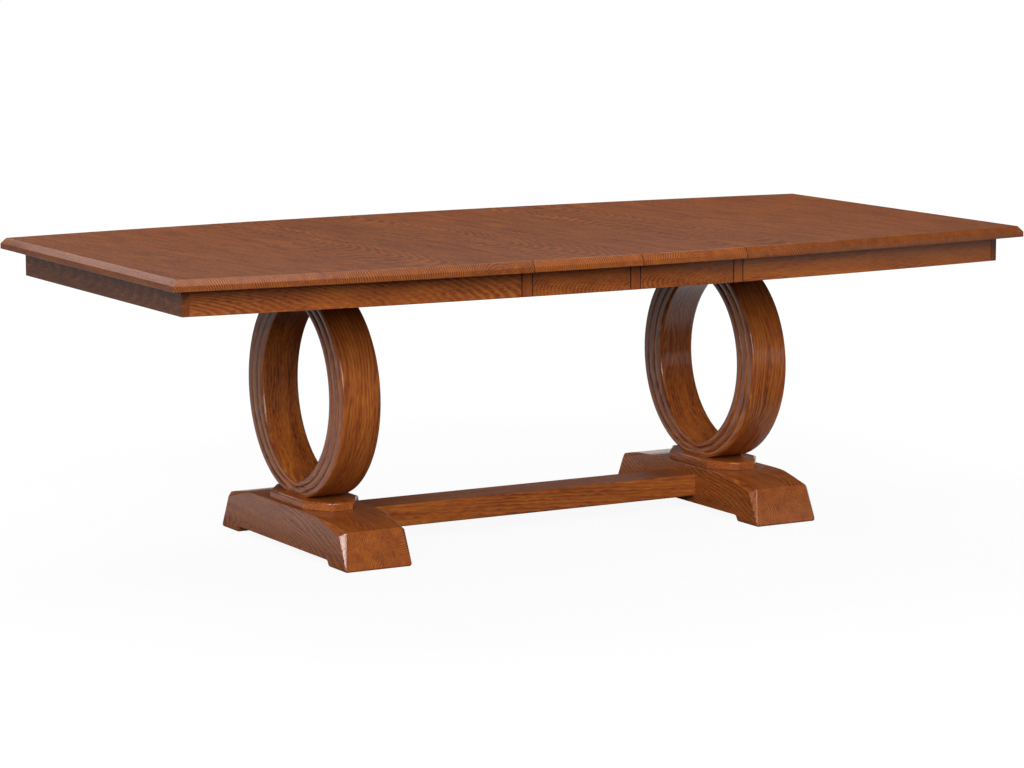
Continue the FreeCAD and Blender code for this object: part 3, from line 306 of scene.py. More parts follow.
def wood(name, finish, along, pith, lean=(0, 0, 0), glued=None, bow=None, roll=None):
    """Solid wood with its grain along an axis; glued is a glue line, a second pith and a shade."""
    material, tree, shader = start_material(name)
    place = add_node(tree, "ShaderNodeTexCoord").outputs["Object"]
    if bow:
        place = straightened(tree, place, bow)
    if roll:
        place = unrolled(tree, place, *roll)
    local = from_pith(tree, place, along, pith, lean)
    if glued:
        glue_line, second_pith, shade = glued
        second = beyond(tree, place, glue_line)
        other = from_pith(tree, place, along, second_pith, lean)
        choice = {"Factor": second, "A": local, "B": other}
        local = add_node(tree, "ShaderNodeMix", choice, data_type="VECTOR").outputs[1]
    tone = grain_tone(tree, local, finish)
    stops = [(stop, linear(finish[key])) for stop, key in COLOUR_STOPS]
    colour = add_node(tree, "ShaderNodeValToRGB", {"Fac": tone}, stops).outputs["Color"]
    if glued:
        shaded = {"Value": second, "To Min": 1.0, "To Max": shade}
        shaded = add_node(tree, "ShaderNodeMapRange", shaded).outputs["Result"]
        shaded = {0: colour, "Scale": shaded}
        colour = add_node(tree, "ShaderNodeVectorMath", shaded, operation="SCALE").outputs["Vector"]
    dull, bright = finish["roughness"]
    rough = {"Value": tone, "To Min": dull, "To Max": bright}
    rough = add_node(tree, "ShaderNodeMapRange", rough).outputs["Result"]
    relief = {"Height": tone, "Strength": RELIEF_STRENGTH, "Distance": finish["relief"] * MM}
    relief = add_node(tree, "ShaderNodeBump", relief).outputs[0]
    tree.links.new(colour, shader.inputs["Base Color"])
    tree.links.new(rough, shader.inputs["Roughness"])
    tree.links.new(relief, shader.inputs["Normal"])
    shader.inputs["Coat Weight"].default_value = finish["lacquer"]
    shader.inputs["Coat Roughness"].default_value = LACQUER_ROUGHNESS
    shader.inputs["Specular IOR Level"].default_value = SPECULAR
    return material


print("colours of the oak:", [STAINED_OAK[key] for stop, key in COLOUR_STOPS])

# %% [markdown]
# ## Eased arrises
#
# A planed edge is sharp enough to cut and too sharp to hold lacquer, so a finisher takes it off with
# a few strokes of sandpaper. That tiny round is what catches the light along every edge of real
# furniture. Each wooden piece is copied from the frame, its triangles are merged back into whole
# faces, and its outer edges are bevelled by a millimetre or two. The short edges round screw holes
# are left as the drill left them. Faces that are cut across the board can have their own material.

# %% Make the finished copy of a piece
MERGE_REACH = 0.005 * MM
FLAT = math.radians(0.2)
SHARP = math.radians(28)
SHORTEST = 6 * MM
ARRIS_STEPS = 2
CROSSCUT = 0.45


def finished(node, shape, materials, crease=50):
    """Object that stands for a piece of the frame."""
    for face in shape.faces:
        face.smooth = True
    mesh = bpy.data.meshes.new(f"{node}_finished")
    shape.to_mesh(mesh)
    shape.free()
    if "custom_normal" in mesh.attributes:
        mesh.attributes.remove(mesh.attributes["custom_normal"])
    mesh.set_sharp_from_angle(angle=math.radians(crease))
    for material in materials:
        mesh.materials.append(material)
    piece = bpy.data.objects.new(f"{node}_finished", mesh)
    bpy.context.scene.collection.objects.link(piece)
    normals = piece.modifiers.new("flat faces stay flat", "WEIGHTED_NORMAL")
    normals.keep_sharp = True
    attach(piece, body_of_node[node])
    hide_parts(node)
    return piece


def whole_faced(node):
    """Copy of a piece of the frame, with its triangles merged back into whole faces."""
    shape = bmesh.new()
    shape.from_mesh(frame["nodes"][node].data)
    bmesh.ops.remove_doubles(shape, verts=shape.verts, dist=MERGE_REACH)
    bmesh.ops.dissolve_limit(shape, angle_limit=FLAT, verts=shape.verts, edges=shape.edges)
    return shape


def arrises(shape):
    """Sharp edges of a shape, without the short ones round its holes."""
    edges = [edge for edge in shape.edges if edge.is_manifold and edge.calc_face_angle() > SHARP]
    return [edge for edge in edges if edge.calc_length() > SHORTEST]


def eased(node, material, arris=1.2, sides=()):
    """Copy of a piece with its edges rounded; sides are materials for faces turned to X and Y."""
    shape = whole_faced(node)
    bmesh.ops.bevel(
        shape,
        geom=arrises(shape),
        offset=arris * MM,
        offset_type="OFFSET",
        affect="EDGES",
        segments=ARRIS_STEPS,
        profile=0.5,
        material=-1,
    )
    shape.normal_update()
    for axis, face in itertools.product(range(len(sides)), shape.faces):
        if abs(face.normal[axis]) > CROSSCUT:
            face.material_index = axis + 1
    return finished(node, shape, [material, *sides])


print("finished copies ride on", sorted(set(body_of_node.values())))

# %% [markdown]
# ## Painted shade in the joints
#
# Where boards meet, the narrow gap between them lies in shade, and that dark line is what the eye
# reads as a seam. Only the eased edges beside a joint are darkened, with painted shade. The faces
# that meet in it keep their wood, because they show when the table is pulled open.

# %% Painted shade in the joints
# Quiet stock, for the plinths and the stretcher too: rings that hardly show.
QUIET_OAK = {**STAINED_OAK, "ring_width": 6.0, "ring_share": 0.32}
# Painted shade for a joint: dark and matt.
JOINT_SHADE_OAK = {
    **QUIET_OAK,
    "dark": "#2C1509",
    "mid": "#3A1C0C",
    "light": "#46230F",
    "gold": "#502A12",
    "roughness": (0.9, 0.8),
    "lacquer": 0.0,
}
JOINT_REACH = 2 * MM
SQUARE_ON = 0.95
joint_shade_oak = wood("oak_painted_shade_at_a_joint", JOINT_SHADE_OAK, "Y", (0, 0, 0))


def shaded_at_joints(piece, joints):
    """Paint shade on the eased edges of a piece along its joints, which are given by their x."""
    mesh = piece.data
    mesh.materials.append(joint_shade_oak)
    for face in mesh.polygons:
        near = min(abs(face.center.x - joint) for joint in joints) < JOINT_REACH
        if near and abs(face.normal.x) < SQUARE_ON:
            face.material_index = len(mesh.materials) - 1


print("joints are dark for", round(JOINT_REACH / MM), "mm at most")

# %% [markdown]
# ## Feet, plinths and stretcher
#
# These are solid oak, sawn square. The pith of a foot lies just under its sole, so its end shows
# arches, and it leans, so its sides show fine slanting lines. The stretcher runs along the table.
#
# A foot is dragged over floors, so the rim of its sole is rounded more than its other edges. Two
# bevels, one after the other, would fold the mesh at the corners, so a Bevel modifier rounds all
# of the edges at once, each by its own weight.

# %% Feet, plinths, bearers and stretcher
# Slow-grown stock for the feet: rings so close that they show as fine pale lines.
FOOT_OAK = {
    **STAINED_OAK,
    "ring_width": 4.4,
    "ring_share": 0.48,
    "bend": 34,
    "bend_size": 70,
    "ripple": 4.0,
    "feather": 2.6,
}
ON_FLOOR = 0.5 * MM
SOLE_STEPS = 3


def middle_of(node):
    """Middle of a piece of the frame."""
    low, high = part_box(node)
    return (low + high) / 2


def soled(node, material, arris, sole):
    """Copy of a foot with eased edges and a rounder rim round its sole."""
    shape = whole_faced(node)
    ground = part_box(node)[0].z
    share = shape.edges.layers.float.new("bevel_weight_edge")
    for edge in arrises(shape):
        at_sole = all(abs(vert.co.z - ground) < ON_FLOOR for vert in edge.verts)
        edge[share] = 1.0 if at_sole else arris / sole
    foot = finished(node, shape, [material])
    bevel = foot.modifiers.new("rounded sole and eased arrises", "BEVEL")
    bevel.limit_method = "WEIGHT"
    bevel.width = sole * MM
    bevel.segments = SOLE_STEPS
    bevel.profile = 0.5
    bevel.use_clamp_overlap = False
    foot.modifiers.move(1, 0)


for side in ("left", "right"):
    middle = middle_of(f"{side}_foot").x
    foot_pith = (middle + 60 * MM, 0, -12 * MM)
    foot_oak = wood(f"oak_{side}_foot", FOOT_OAK, "Y", foot_pith, lean=(3, 0, 8))
    soled(f"{side}_foot", foot_oak, arris=1.5, sole=6.0)
    plinth_pith = (middle + 30 * MM, 300 * MM, 60 * MM)
    plinth_oak = wood(f"oak_{side}_plinth", QUIET_OAK, "Y", plinth_pith, lean=(2, 0, 4))
    eased(f"{side}_plinth", plinth_oak, arris=1.5)
    bearer_pith = (middle, 0, 620 * MM)
    eased(f"{side}_bearer", wood(f"oak_{side}_bearer", STAINED_OAK, "Y", bearer_pith))
stretcher_pith = (100 * MM, 60 * MM, -40 * MM)
eased("stretcher", wood("oak_stretcher", QUIET_OAK, "X", stretcher_pith, lean=(0, 2, 1)))

# %% [markdown]
# ## Moulded rings
#
# Each pedestal is a ring made of two half rings that are thick in the middle and thin where they
# meet. Their faces are moulded with three flat beads, with a quirk, a fine groove, between them. One
# profile does it: a closed line across the wood, with three squarish arcs on each face. The spin
# operator sweeps it a little further than half a turn.

# %% Sweep the beads
RING_INNER = 235 * MM
RING_STEPS = 120
RING_MERGE = 0.01 * MM
PAST_HALF = math.radians(6)
BEAD_EDGES = (0.0, 0.34, 0.68, 1.0)
BEAD_DEPTHS = (11 * MM, 4.5 * MM, 4.5 * MM, 7 * MM)
BEAD_STEPS = 12
BEAD_SQUARENESS = 2.8


def bead_line(half_depth):
    """Points across one face: share of the width, and distance from the middle plane."""
    line = []
    for number, (start, end) in enumerate(zip(BEAD_EDGES, BEAD_EDGES[1:])):
        for step in range(BEAD_STEPS + 1):
            turn = math.pi * step / BEAD_STEPS
            across = abs(math.cos(turn)) ** (2 / BEAD_SQUARENESS)
            across = math.copysign(across, -math.cos(turn))
            full = math.sin(turn) ** (2 / BEAD_SQUARENESS)
            depth = BEAD_DEPTHS[number + (across > 0)]
            share = start + (end - start) * (1 + across) / 2
            line.append((share, half_depth - depth * (1 - full)))
    return line


def swept_beads(middle, width, half_depth, facing):
    """Beaded ring of even width, swept a little further than half a turn."""
    line = bead_line(half_depth)
    shape = bmesh.new()
    for share, reach in [(share, -reach) for share, reach in line] + line[::-1]:
        radius = RING_INNER + share * width
        away = -facing * math.sin(PAST_HALF) * radius
        shape.verts.new((middle.x + reach, away, middle.z - math.cos(PAST_HALF) * radius))
    corners = shape.verts[:]
    profile = [shape.edges.new(pair) for pair in zip(corners, corners[1:] + corners[:1])]
    bmesh.ops.spin(
        shape,
        geom=corners + profile,
        cent=(middle.x, 0, middle.z),
        axis=(1, 0, 0),
        angle=facing * (math.pi + 2 * PAST_HALF),
        steps=RING_STEPS,
    )
    bmesh.ops.remove_doubles(shape, verts=shape.verts, dist=RING_MERGE)
    return shape


print("the profile of a ring has", 2 * len(bead_line(0)), "points")

# %% [markdown]
# ## From a ring to two crescents
#
# Every point of the swept ring slides sideways by its share of the shift between the inner and the
# outer circle, which makes the crescent. The quirks are stopped, as a carver would say: they run
# out before the joint, the outer one first. Three planes cut the joint and the two flats.

# %% Shape the half rings
# Bent stock for the pedestals: the growth rings run round the curve as wavering streaks.
RING_OAK = {
    **STAINED_OAK,
    "ring_width": 10.0,
    "ring_share": 0.45,
    "bend": 50,
    "bend_size": 45,
    "contrast": 1.5,
}
RING_SHIFT = 48 * MM
QUIRK_STOPS = (math.radians(3), math.radians(12))
QUIRK_RUN_OUT = math.radians(5)
RING_CREASE = 35


def run_out(share, turn):
    """How deep a quirk is cut, from 0 to 1, at a share of the width and a turn from the joint."""
    if not BEAD_EDGES[1] / 2 < share < (BEAD_EDGES[2] + 1) / 2:
        return 1.0
    stop = QUIRK_STOPS[share > sum(BEAD_EDGES[1:3]) / 2]
    return min(max((turn - stop) / QUIRK_RUN_OUT, 0.0), 1.0)


def half_ring(node, facing):
    """Half ring of a pedestal, at its place in the frame."""
    low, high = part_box(node)
    middle = middle_of(node)
    width = max(-low.y, high.y) - RING_INNER
    half_depth = (high.x - low.x) / 2
    shape = swept_beads(middle, width, half_depth, facing)
    for vert in shape.verts:
        share = (math.hypot(vert.co.y, vert.co.z - middle.z) - RING_INNER) / width
        turn = math.atan2(abs(vert.co.y), abs(vert.co.z - middle.z))
        reach = vert.co.x - middle.x
        filled = (half_depth - abs(reach)) * (1 - run_out(share, turn))
        vert.co.x += math.copysign(filled, reach)
        vert.co.y -= facing * RING_SHIFT * (1 - share)
    joint = ((0, 0, 0), (0, -facing, 0))
    flats = ((low, (0, 0, -1)), (high, (0, 0, 1)))
    for point, outward in (joint, *flats):
        whole = shape.verts[:] + shape.edges[:] + shape.faces[:]
        plane = {"plane_co": point, "plane_no": outward}
        cut = bmesh.ops.bisect_plane(shape, geom=whole, clear_outer=True, **plane)
        rim = [part for part in cut["geom_cut"] if isinstance(part, bmesh.types.BMEdge)]
        bmesh.ops.holes_fill(shape, edges=rim)
    bmesh.ops.recalc_face_normals(shape, faces=shape.faces)
    return shape


for side, (face, facing) in itertools.product(("left", "right"), (("front", -1), ("back", 1))):
    node = f"{side}_ring_{face}"
    middle = middle_of(node)
    pith = (middle.x - 250 * MM, RING_INNER - 100 * MM, 0)
    roll = (middle.z, RING_INNER)
    ring_oak = wood(f"oak_{node}", RING_OAK, "Z", pith, lean=(0, 2, 0), roll=roll)
    shape = half_ring(node, facing)
    loose = sum(not edge.is_manifold for edge in shape.edges)
    print(node, "has", len(shape.faces), "faces and", loose, "open edges")
    finished(node, shape, [ring_oak], crease=RING_CREASE)

# %% [markdown]
# ## The top
#
# The boards run across the table, so the long edges of the top show end grain and its ends show
# side grain. One formula would draw all three, but end grain drinks more stain than a face does, so
# each way of cutting has its own finish. Each half is glued up from two wide boards.

# %% Cuts of oak for the top
# Wide plain-sawn boards, cut from a big trunk: rings that end in tall arches.
TOP_OAK = {
    **STAINED_OAK,
    "ring_width": 5.6,
    "ring_share": 0.56,
    "bend": 26,
    "bend_size": 100,
    "ripple": 4.0,
    "feather": 4.5,
    "contrast": 1.9,
}
# End grain of those boards, sealed before staining: fine pale lines on an even ground.
END_OAK = {
    **STAINED_OAK,
    "mid": "#7A3E1B",
    "light": "#8C4A1E",
    "ring_width": 6.0,
    "ring_share": 0.6,
    "bend": 14,
    "bend_size": 70,
    "ripple": 2.5,
    "ripple_size": 25,
    "feather": 0.9,
}
# End grain of the leaves, a shade lighter than that of the halves.
LEAF_END_OAK = {**END_OAK, "dark": "#6B3415", "mid": "#87451D", "light": "#995321"}
# Side grain along the ends of the top: close rings that slant across the edge.
SIDE_OAK = {
    **STAINED_OAK,
    "mid": "#7E3F1B",
    "light": "#8F4D1E",
    "ring_width": 2.6,
    "ring_share": 0.45,
    "ripple": 1.4,
    "feather": 0.9,
}
TOP_LEAN = (7, 0, 5)
spacing = TOP_OAK["ring_width"] / math.tan(math.radians(TOP_LEAN[0]))
print("arches of the top lie", round(spacing), "mm apart")

# %% [markdown]
# ## Boards and leaves
#
# Each board has a pith of its own, given by its place along the table and its depth below the top.
# The end grain has another one, nearer to the board, because its arcs are tighter. The second board
# of a half begins at its glue line.

# %% Finish the boards
TOP = cad_box[1].z
DARKER, LIGHTER = 0.93, 1.06
LEFT_GLUE_LINE, RIGHT_GLUE_LINE = -475 * MM, 470 * MM
SEAMS = (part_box("left_leaf_board")[0].x, 0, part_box("right_leaf_board")[1].x)


def pith_at(along, below):
    """Pith of a board of the top, in mm along the table and below the top."""
    return (along * MM, 0, TOP - below * MM)


board_piths = {
    "left_top": (pith_at(-610, 350), (LEFT_GLUE_LINE, pith_at(-300, 260), DARKER)),
    "left_leaf": (pith_at(-200, 300), None),
    "right_leaf": (pith_at(270, 330), None),
    "right_top": (pith_at(400, 300), (RIGHT_GLUE_LINE, pith_at(1750, 420), LIGHTER)),
}
end_piths = {
    "left_top": (pith_at(-1700, 220), (LEFT_GLUE_LINE, pith_at(-390, 60), DARKER)),
    "left_leaf": (pith_at(-800, 110), None),
    "right_leaf": (pith_at(160, 55), None),
    "right_top": (pith_at(390, 50), (RIGHT_GLUE_LINE, pith_at(-300, 150), DARKER)),
}
for part, (pith, glued) in board_piths.items():
    node = f"{part}_board"
    face_oak = wood(f"oak_{node}", TOP_OAK, "Y", pith, TOP_LEAN, glued)
    end_cut = LEAF_END_OAK if part.endswith("leaf") else END_OAK
    end_pith, end_glued = end_piths[part]
    end_oak = wood(f"oak_{node}_end_grain", end_cut, "Y", end_pith, glued=end_glued)
    side_oak = wood(f"oak_{node}_side_grain", SIDE_OAK, "Y", pith, TOP_LEAN)
    shaded_at_joints(eased(node, face_oak, arris=0.9, sides=(side_oak, end_oak)), SEAMS)
print("the top is", round(TOP / MM), "mm high, with seams at", [round(x / MM) for x in SEAMS])

# %% [markdown]
# ## Aprons and stiles
#
# Long aprons run along the table, end aprons across it, and the stiles at the seams stand upright.
# The pith of a long apron starts just behind its face and leans away from it, which draws a row of
# scallops along the table. The aprons came from different boards, so they differ in cut; the right
# apron is painted paler, as painted light, and the end aprons darker, as painted shade.

# %% Cuts of oak for the aprons
# Figured stock for the longest apron: bold scallops.
APRON_OAK = {
    **STAINED_OAK,
    "ring_width": 4.6,
    "ring_share": 0.42,
    "ripple": 4.0,
    "feather": 3.0,
}
# Slow-grown stock for the other aprons: close rings, drawn as fine pale arcs.
FINE_APRON_OAK = {
    **STAINED_OAK,
    "ring_width": 2.6,
    "ring_share": 0.42,
    "bend": 20,
    "bend_size": 90,
    "ripple": 1.6,
    "feather": 0.9,
}
# The right apron is painted paler, as painted light for the brighter right end of the table, and the
# end aprons darker and quiet, as painted shade on the ends of the table.
PAINTED_LIGHT_APRON_OAK = {**FINE_APRON_OAK, "dark": "#74381A", "mid": "#9A5022", "light": "#A85E26"}
SHADED_END_APRON_OAK = {**QUIET_OAK, "dark": "#47210E", "mid": "#6B3416", "light": "#7B401A"}
# Straight-grained strips for the stiles at the seams, nearly plain.
STILE_OAK = {**STAINED_OAK, "dark": "#73381A", "ring_share": 0.1, "contrast": 0.8}
# Cut of each long apron, lean of its pith in degrees, and its depth and height in mm.
apron_cuts = {
    "left": (APRON_OAK, 10, 40, 664),
    "left_leaf": (FINE_APRON_OAK, -14, 45, 676),
    "right_leaf": (FINE_APRON_OAK, -12, 45, 680),
    "right": (PAINTED_LIGHT_APRON_OAK, -4, 40, 655),
}
print("long aprons on each side:", len(apron_cuts))

# %% [markdown]
# ## Bent like the top
#
# The long sides of the table are bowed, and the long aprons are bent to follow them. The bow is
# worked out from its sagitta, the height of the arc, and the wood takes it out of the grain again.
# Where an apron ends at a seam, its eased edge is darkened with painted shade.

# %% Finish the aprons and stiles
SAGITTA = 73 * MM
APRON_OVERHANG = 61.5 * MM
HALF_LENGTH = cad_box[1].x
BOW = SAGITTA / HALF_LENGTH ** 2
apron_face = cad_box[1].y - APRON_OVERHANG
# The end aprons take the darker colour: painted shade on the ends of the table.
for side, sign in (("left", -1), ("right", 1)):
    node = f"{side}_end_apron"
    pith = (middle_of(node).x - sign * 60 * MM, 0, 715 * MM)
    eased(node, wood(f"oak_{node}", SHADED_END_APRON_OAK, "Y", pith, lean=(0, 0, 6)))
for part, (cut, lean, depth, height) in apron_cuts.items():
    for face, facing in (("front", -1), ("back", 1)):
        node = f"{part}_{face}_apron"
        low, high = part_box(node)
        pith = (low.x if lean > 0 else high.x, facing * (apron_face - depth * MM), height * MM)
        tilt = (0, 0, -facing * lean)
        apron_oak = wood(f"oak_{node}", cut, "X", pith, lean=tilt, bow=facing * BOW)
        seams = [end for end in (low.x, high.x) if abs(end) < HALF_LENGTH / 2]
        shaded_at_joints(eased(node, apron_oak, arris=1.6), seams)
for node in ("left_leaf_stiles", "right_leaf_stiles", "right_apron_stiles"):
    low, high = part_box(node)
    stile_oak = wood(f"oak_{node}", STILE_OAK, "Z", (low.x - 30 * MM, 0, 0))
    shaded_at_joints(eased(node, stile_oak, arris=1.4), (low.x, high.x))
print("the long sides bow out by", round(SAGITTA / MM), "mm")

# %% [markdown]
# ## Under the top
#
# Slides and blocks are plain utility woods: maple where they slide, because it wears well, and
# poplar where they only hold glue and screws.

# %% Slides and blocks
# Hard maple, planed and waxed: pale, close-grained and nearly even.
MAPLE = {
    "dark": "#B48A5C",
    "mid": "#CDA674",
    "light": "#D9B88A",
    "gold": "#E2C69C",
    "ring_width": 5.0,
    "ring_share": 0.25,
    "bend": 14,
    "bend_size": 180,
    "ripple": 2.0,
    "ripple_size": 20,
    "feather": 3.0,
    "flame_size": 60,
    "streak_size": 30,
    "pore_size": 2.2,
    "contrast": 1.0,
    "roughness": (0.55, 0.48),
    "lacquer": 0.0,
    "relief": 0.02,
}
# Sawn poplar: greenish cream, left rough from the saw because nobody sees it.
POPLAR = {
    **MAPLE,
    "dark": "#8F8054",
    "mid": "#B2A173",
    "light": "#C2B286",
    "gold": "#CDBF98",
    "roughness": (0.75, 0.65),
    "relief": 0.06,
}
for face, facing in (("front", -1), ("back", 1)):
    rails = {f"left_{face}_rail": 200, f"right_{face}_rail": 200, f"{face}_centre_rail": 260}
    for node, depth in rails.items():
        pith = (0, facing * depth * MM, 680 * MM)
        eased(node, wood(f"maple_{node}", MAPLE, "X", pith), arris=0.8)
for part in ("left_apron", "right_apron", "left_leaf", "right_leaf"):
    pith = (0, 100 * MM, 690 * MM)
    eased(f"{part}_blocks", wood(f"poplar_{part}_blocks", POPLAR, "X", pith), arris=0.6)
low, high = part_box("front_centre_rail")
print("rails are", round((high - low).z / MM), "mm high")

# %% [markdown]
# ## Hardware
#
# Zinc plating is a thin bright coat over steel, dulled by a passivating dip. Moulded nylon is a waxy
# ivory plastic with a faint cloud in it. Both are a cloud of noise between two tones that also
# drives the gloss, so one function makes them. Turned beech pins and dowels use the wood from above.

# %% Plating, nylon and pins
# Turned beech: pinkish tan with short dark flecks.
BEECH = {**MAPLE, "dark": "#9F7048", "mid": "#BC8D60", "light": "#C89B6E", "gold": "#D3AA7E"}
CLOUD_EDGES = (0.3, 0.7)
NYLON_IOR = 1.53


def clouded(name, size, tones, roughness):
    """Material with a faint cloud between two tones; its size is in mm."""
    material, tree, shader = start_material(name)
    place = add_node(tree, "ShaderNodeTexCoord").outputs["Object"]
    look = {"Vector": place, "Scale": 1 / (size * MM), "Detail": 2}
    cloud = add_node(tree, "ShaderNodeTexNoise", look).outputs["Fac"]
    stops = [(edge, linear(tone)) for edge, tone in zip(CLOUD_EDGES, tones)]
    colour = add_node(tree, "ShaderNodeValToRGB", {"Fac": cloud}, stops)
    span = {"Value": cloud, "To Min": roughness[0], "To Max": roughness[1]}
    rough = add_node(tree, "ShaderNodeMapRange", span)
    tree.links.new(colour.outputs["Color"], shader.inputs["Base Color"])
    tree.links.new(rough.outputs["Result"], shader.inputs["Roughness"])
    return material, shader


zinc_plated_steel, plating = clouded(
    "zinc_plated_steel", size=4, tones=("#A9ABA8", "#C9CBC6"), roughness=(0.28, 0.45)
)
plating.inputs["Metallic"].default_value = 1.0
moulded_nylon, resin = clouded(
    "moulded_nylon", size=9, tones=("#D3CDBE", "#E2DDD0"), roughness=(0.42, 0.55)
)
resin.inputs["IOR"].default_value = NYLON_IOR
turned_beech = wood("turned_beech", BEECH, "X", (0, 0, 700 * MM))
hardware = {"zinc_steel": zinc_plated_steel, "nylon": moulded_nylon, "beech": turned_beech}
fitted = [node for node, slot in slot_of_node.items() if slot in hardware]
for node in fitted:
    frame["nodes"][node].data.materials.clear()
    frame["nodes"][node].data.materials.append(hardware[slot_of_node[node]])
print("pieces of hardware:", len(fitted))

# %% [markdown]
# ## The floor
#
# The table stands on a pale floor in a white studio. The floor's own paint is dark, so that it
# throws little light up at the table, and a glow that only the camera meets makes it white, while
# the shadow stays. Glass would see the same glow. Lacquer sees a second glow on the floor, a painted
# reflection beside and behind the table, which gives the ends and the rims of the rings their grey
# sheen. That painted reflection is left dark under the table, as a painted shadow, and in front,
# where it would turn the stain milky.

# %% Light of the floor
# Brightness to the camera under the table, and the distances over which it rises to white.
FLOOR_GLOW = 0.92
FLOOR_FADE = (1.5, 4.5)
# Brightness of the painted reflection in lacquer on the left, on the right and far away, with the
# places where it changes.
GLEAM_LEFT, GLEAM_RIGHT, GLEAM_FAR = 0.6, 1.0, 0.33
GLEAM_SIDES = (0.6, 1.2)
GLEAM_FADE = (2.5, 5.5)
# Half the length and width of the painted shadow under the table, its soft edge as a share of
# them, and the front edge.
SHADE_SIZE = (0.75, 0.6)
SHADE_EDGE = (0.9, 1.2)
FRONT_EDGE = (-0.6, -0.2)


def seen_rays(tree):
    """Outputs of the light path, and 1 for rays from the camera or through glass."""
    rays = add_node(tree, "ShaderNodeLightPath").outputs
    either = {0: rays["Is Camera Ray"], 1: rays["Is Transmission Ray"]}
    return rays, add_node(tree, "ShaderNodeMath", either, operation="MAXIMUM").outputs[0]


def out_of_shade(tree, place):
    """0 in the painted shadow under the table and 1 outside it."""
    side = add_node(tree, "ShaderNodeVectorMath", {0: place}, operation="ABSOLUTE").outputs[0]
    share = {0: side, 1: (1 / SHADE_SIZE[0], 1 / SHADE_SIZE[1], 0)}
    share = add_node(tree, "ShaderNodeVectorMath", share, operation="MULTIPLY").outputs[0]
    share = add_node(tree, "ShaderNodeSeparateXYZ", {0: share}).outputs
    share = {0: share["X"], 1: share["Y"]}
    share = add_node(tree, "ShaderNodeMath", share, operation="MAXIMUM").outputs[0]
    lit = {"Value": share, "From Min": SHADE_EDGE[0], "From Max": SHADE_EDGE[1]}
    return add_node(tree, "ShaderNodeMapRange", lit).outputs["Result"]


def gleam(tree, place, away):
    """Painted reflection: how bright the floor glows to rays that lacquer mirrors."""
    spot = add_node(tree, "ShaderNodeSeparateXYZ", {0: place}).outputs
    sides = {"Value": spot["X"], "From Min": GLEAM_SIDES[0], "From Max": GLEAM_SIDES[1]}
    sides = {**sides, "To Min": GLEAM_LEFT, "To Max": GLEAM_RIGHT}
    sheen = add_node(tree, "ShaderNodeMapRange", sides).outputs["Result"]
    behind = {"Value": spot["Y"], "From Min": FRONT_EDGE[0], "From Max": FRONT_EDGE[1]}
    behind = add_node(tree, "ShaderNodeMapRange", behind).outputs["Result"]
    fade = {"Value": away, "From Min": GLEAM_FADE[0], "From Max": GLEAM_FADE[1]}
    fade = {**fade, "To Min": 1, "To Max": GLEAM_FAR}
    fade = add_node(tree, "ShaderNodeMapRange", fade).outputs["Result"]
    for dimmer in (out_of_shade(tree, place), behind, fade):
        dimmed = {0: sheen, 1: dimmer}
        sheen = add_node(tree, "ShaderNodeMath", dimmed, operation="MULTIPLY").outputs[0]
    return sheen


print("floor glow under the table and far away:", FLOOR_GLOW, 1.0)

# %% [markdown]
# ## A floor that ends nowhere
#
# A floor with an edge would show a horizon. A disc that is far larger than the table, and white
# where it is far away, runs into the white room without a line.

# %% Make the floor
FLOOR_REACH = 60.0
FLOOR_SIDES = 64
FLOOR_PAINT = (0.07, 0.07, 0.07, 1)
WHITE = (1, 1, 1, 1)


def floor_paint():
    """Matt grey paint that the camera sees as white, and lacquer as a painted gleam."""
    material, tree, shader = start_material("studio_floor")
    rays, seen = seen_rays(tree)
    place = add_node(tree, "ShaderNodeTexCoord").outputs["Object"]
    away = add_node(tree, "ShaderNodeVectorMath", {0: place}, operation="LENGTH").outputs["Value"]
    glow = {"Value": away, "From Min": FLOOR_FADE[0], "From Max": FLOOR_FADE[1]}
    glow = {**glow, "To Min": FLOOR_GLOW, "To Max": 1}
    glow = add_node(tree, "ShaderNodeMapRange", glow).outputs["Result"]
    shown = add_node(tree, "ShaderNodeMath", {0: seen, 1: glow}, operation="MULTIPLY").outputs[0]
    level = {0: rays["Is Glossy Ray"], 1: gleam(tree, place, away), 2: shown}
    level = add_node(tree, "ShaderNodeMath", level, operation="MULTIPLY_ADD").outputs[0]
    shader.inputs["Base Color"].default_value = FLOOR_PAINT
    shader.inputs["Roughness"].default_value = 1.0
    shader.inputs["Specular IOR Level"].default_value = 0.0
    shader.inputs["Emission Color"].default_value = WHITE
    tree.links.new(level, shader.inputs["Emission Strength"])
    return material


shape = bmesh.new()
bmesh.ops.create_circle(shape, cap_ends=True, segments=FLOOR_SIDES, radius=FLOOR_REACH)
mesh = bpy.data.meshes.new("studio_floor")
shape.to_mesh(mesh)
shape.free()
mesh.materials.append(floor_paint())
floor = bpy.data.objects.new("studio_floor", mesh)
bpy.context.scene.collection.objects.link(floor)
floor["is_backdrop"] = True
print("the floor reaches", FLOOR_REACH, "m from the table")

# %% [markdown]
# ## The room
#
# The room is white to the camera and to glass, and dim as a lamp. Polished faces see its white
# ceiling but not its walls: the camera is low, so the top of the table mirrors the walls, and in
# the photo they are dark there.

# %% Make the room
ROOM_LIGHT = 0.03
CEILING_EDGE = (0.75, 0.95)


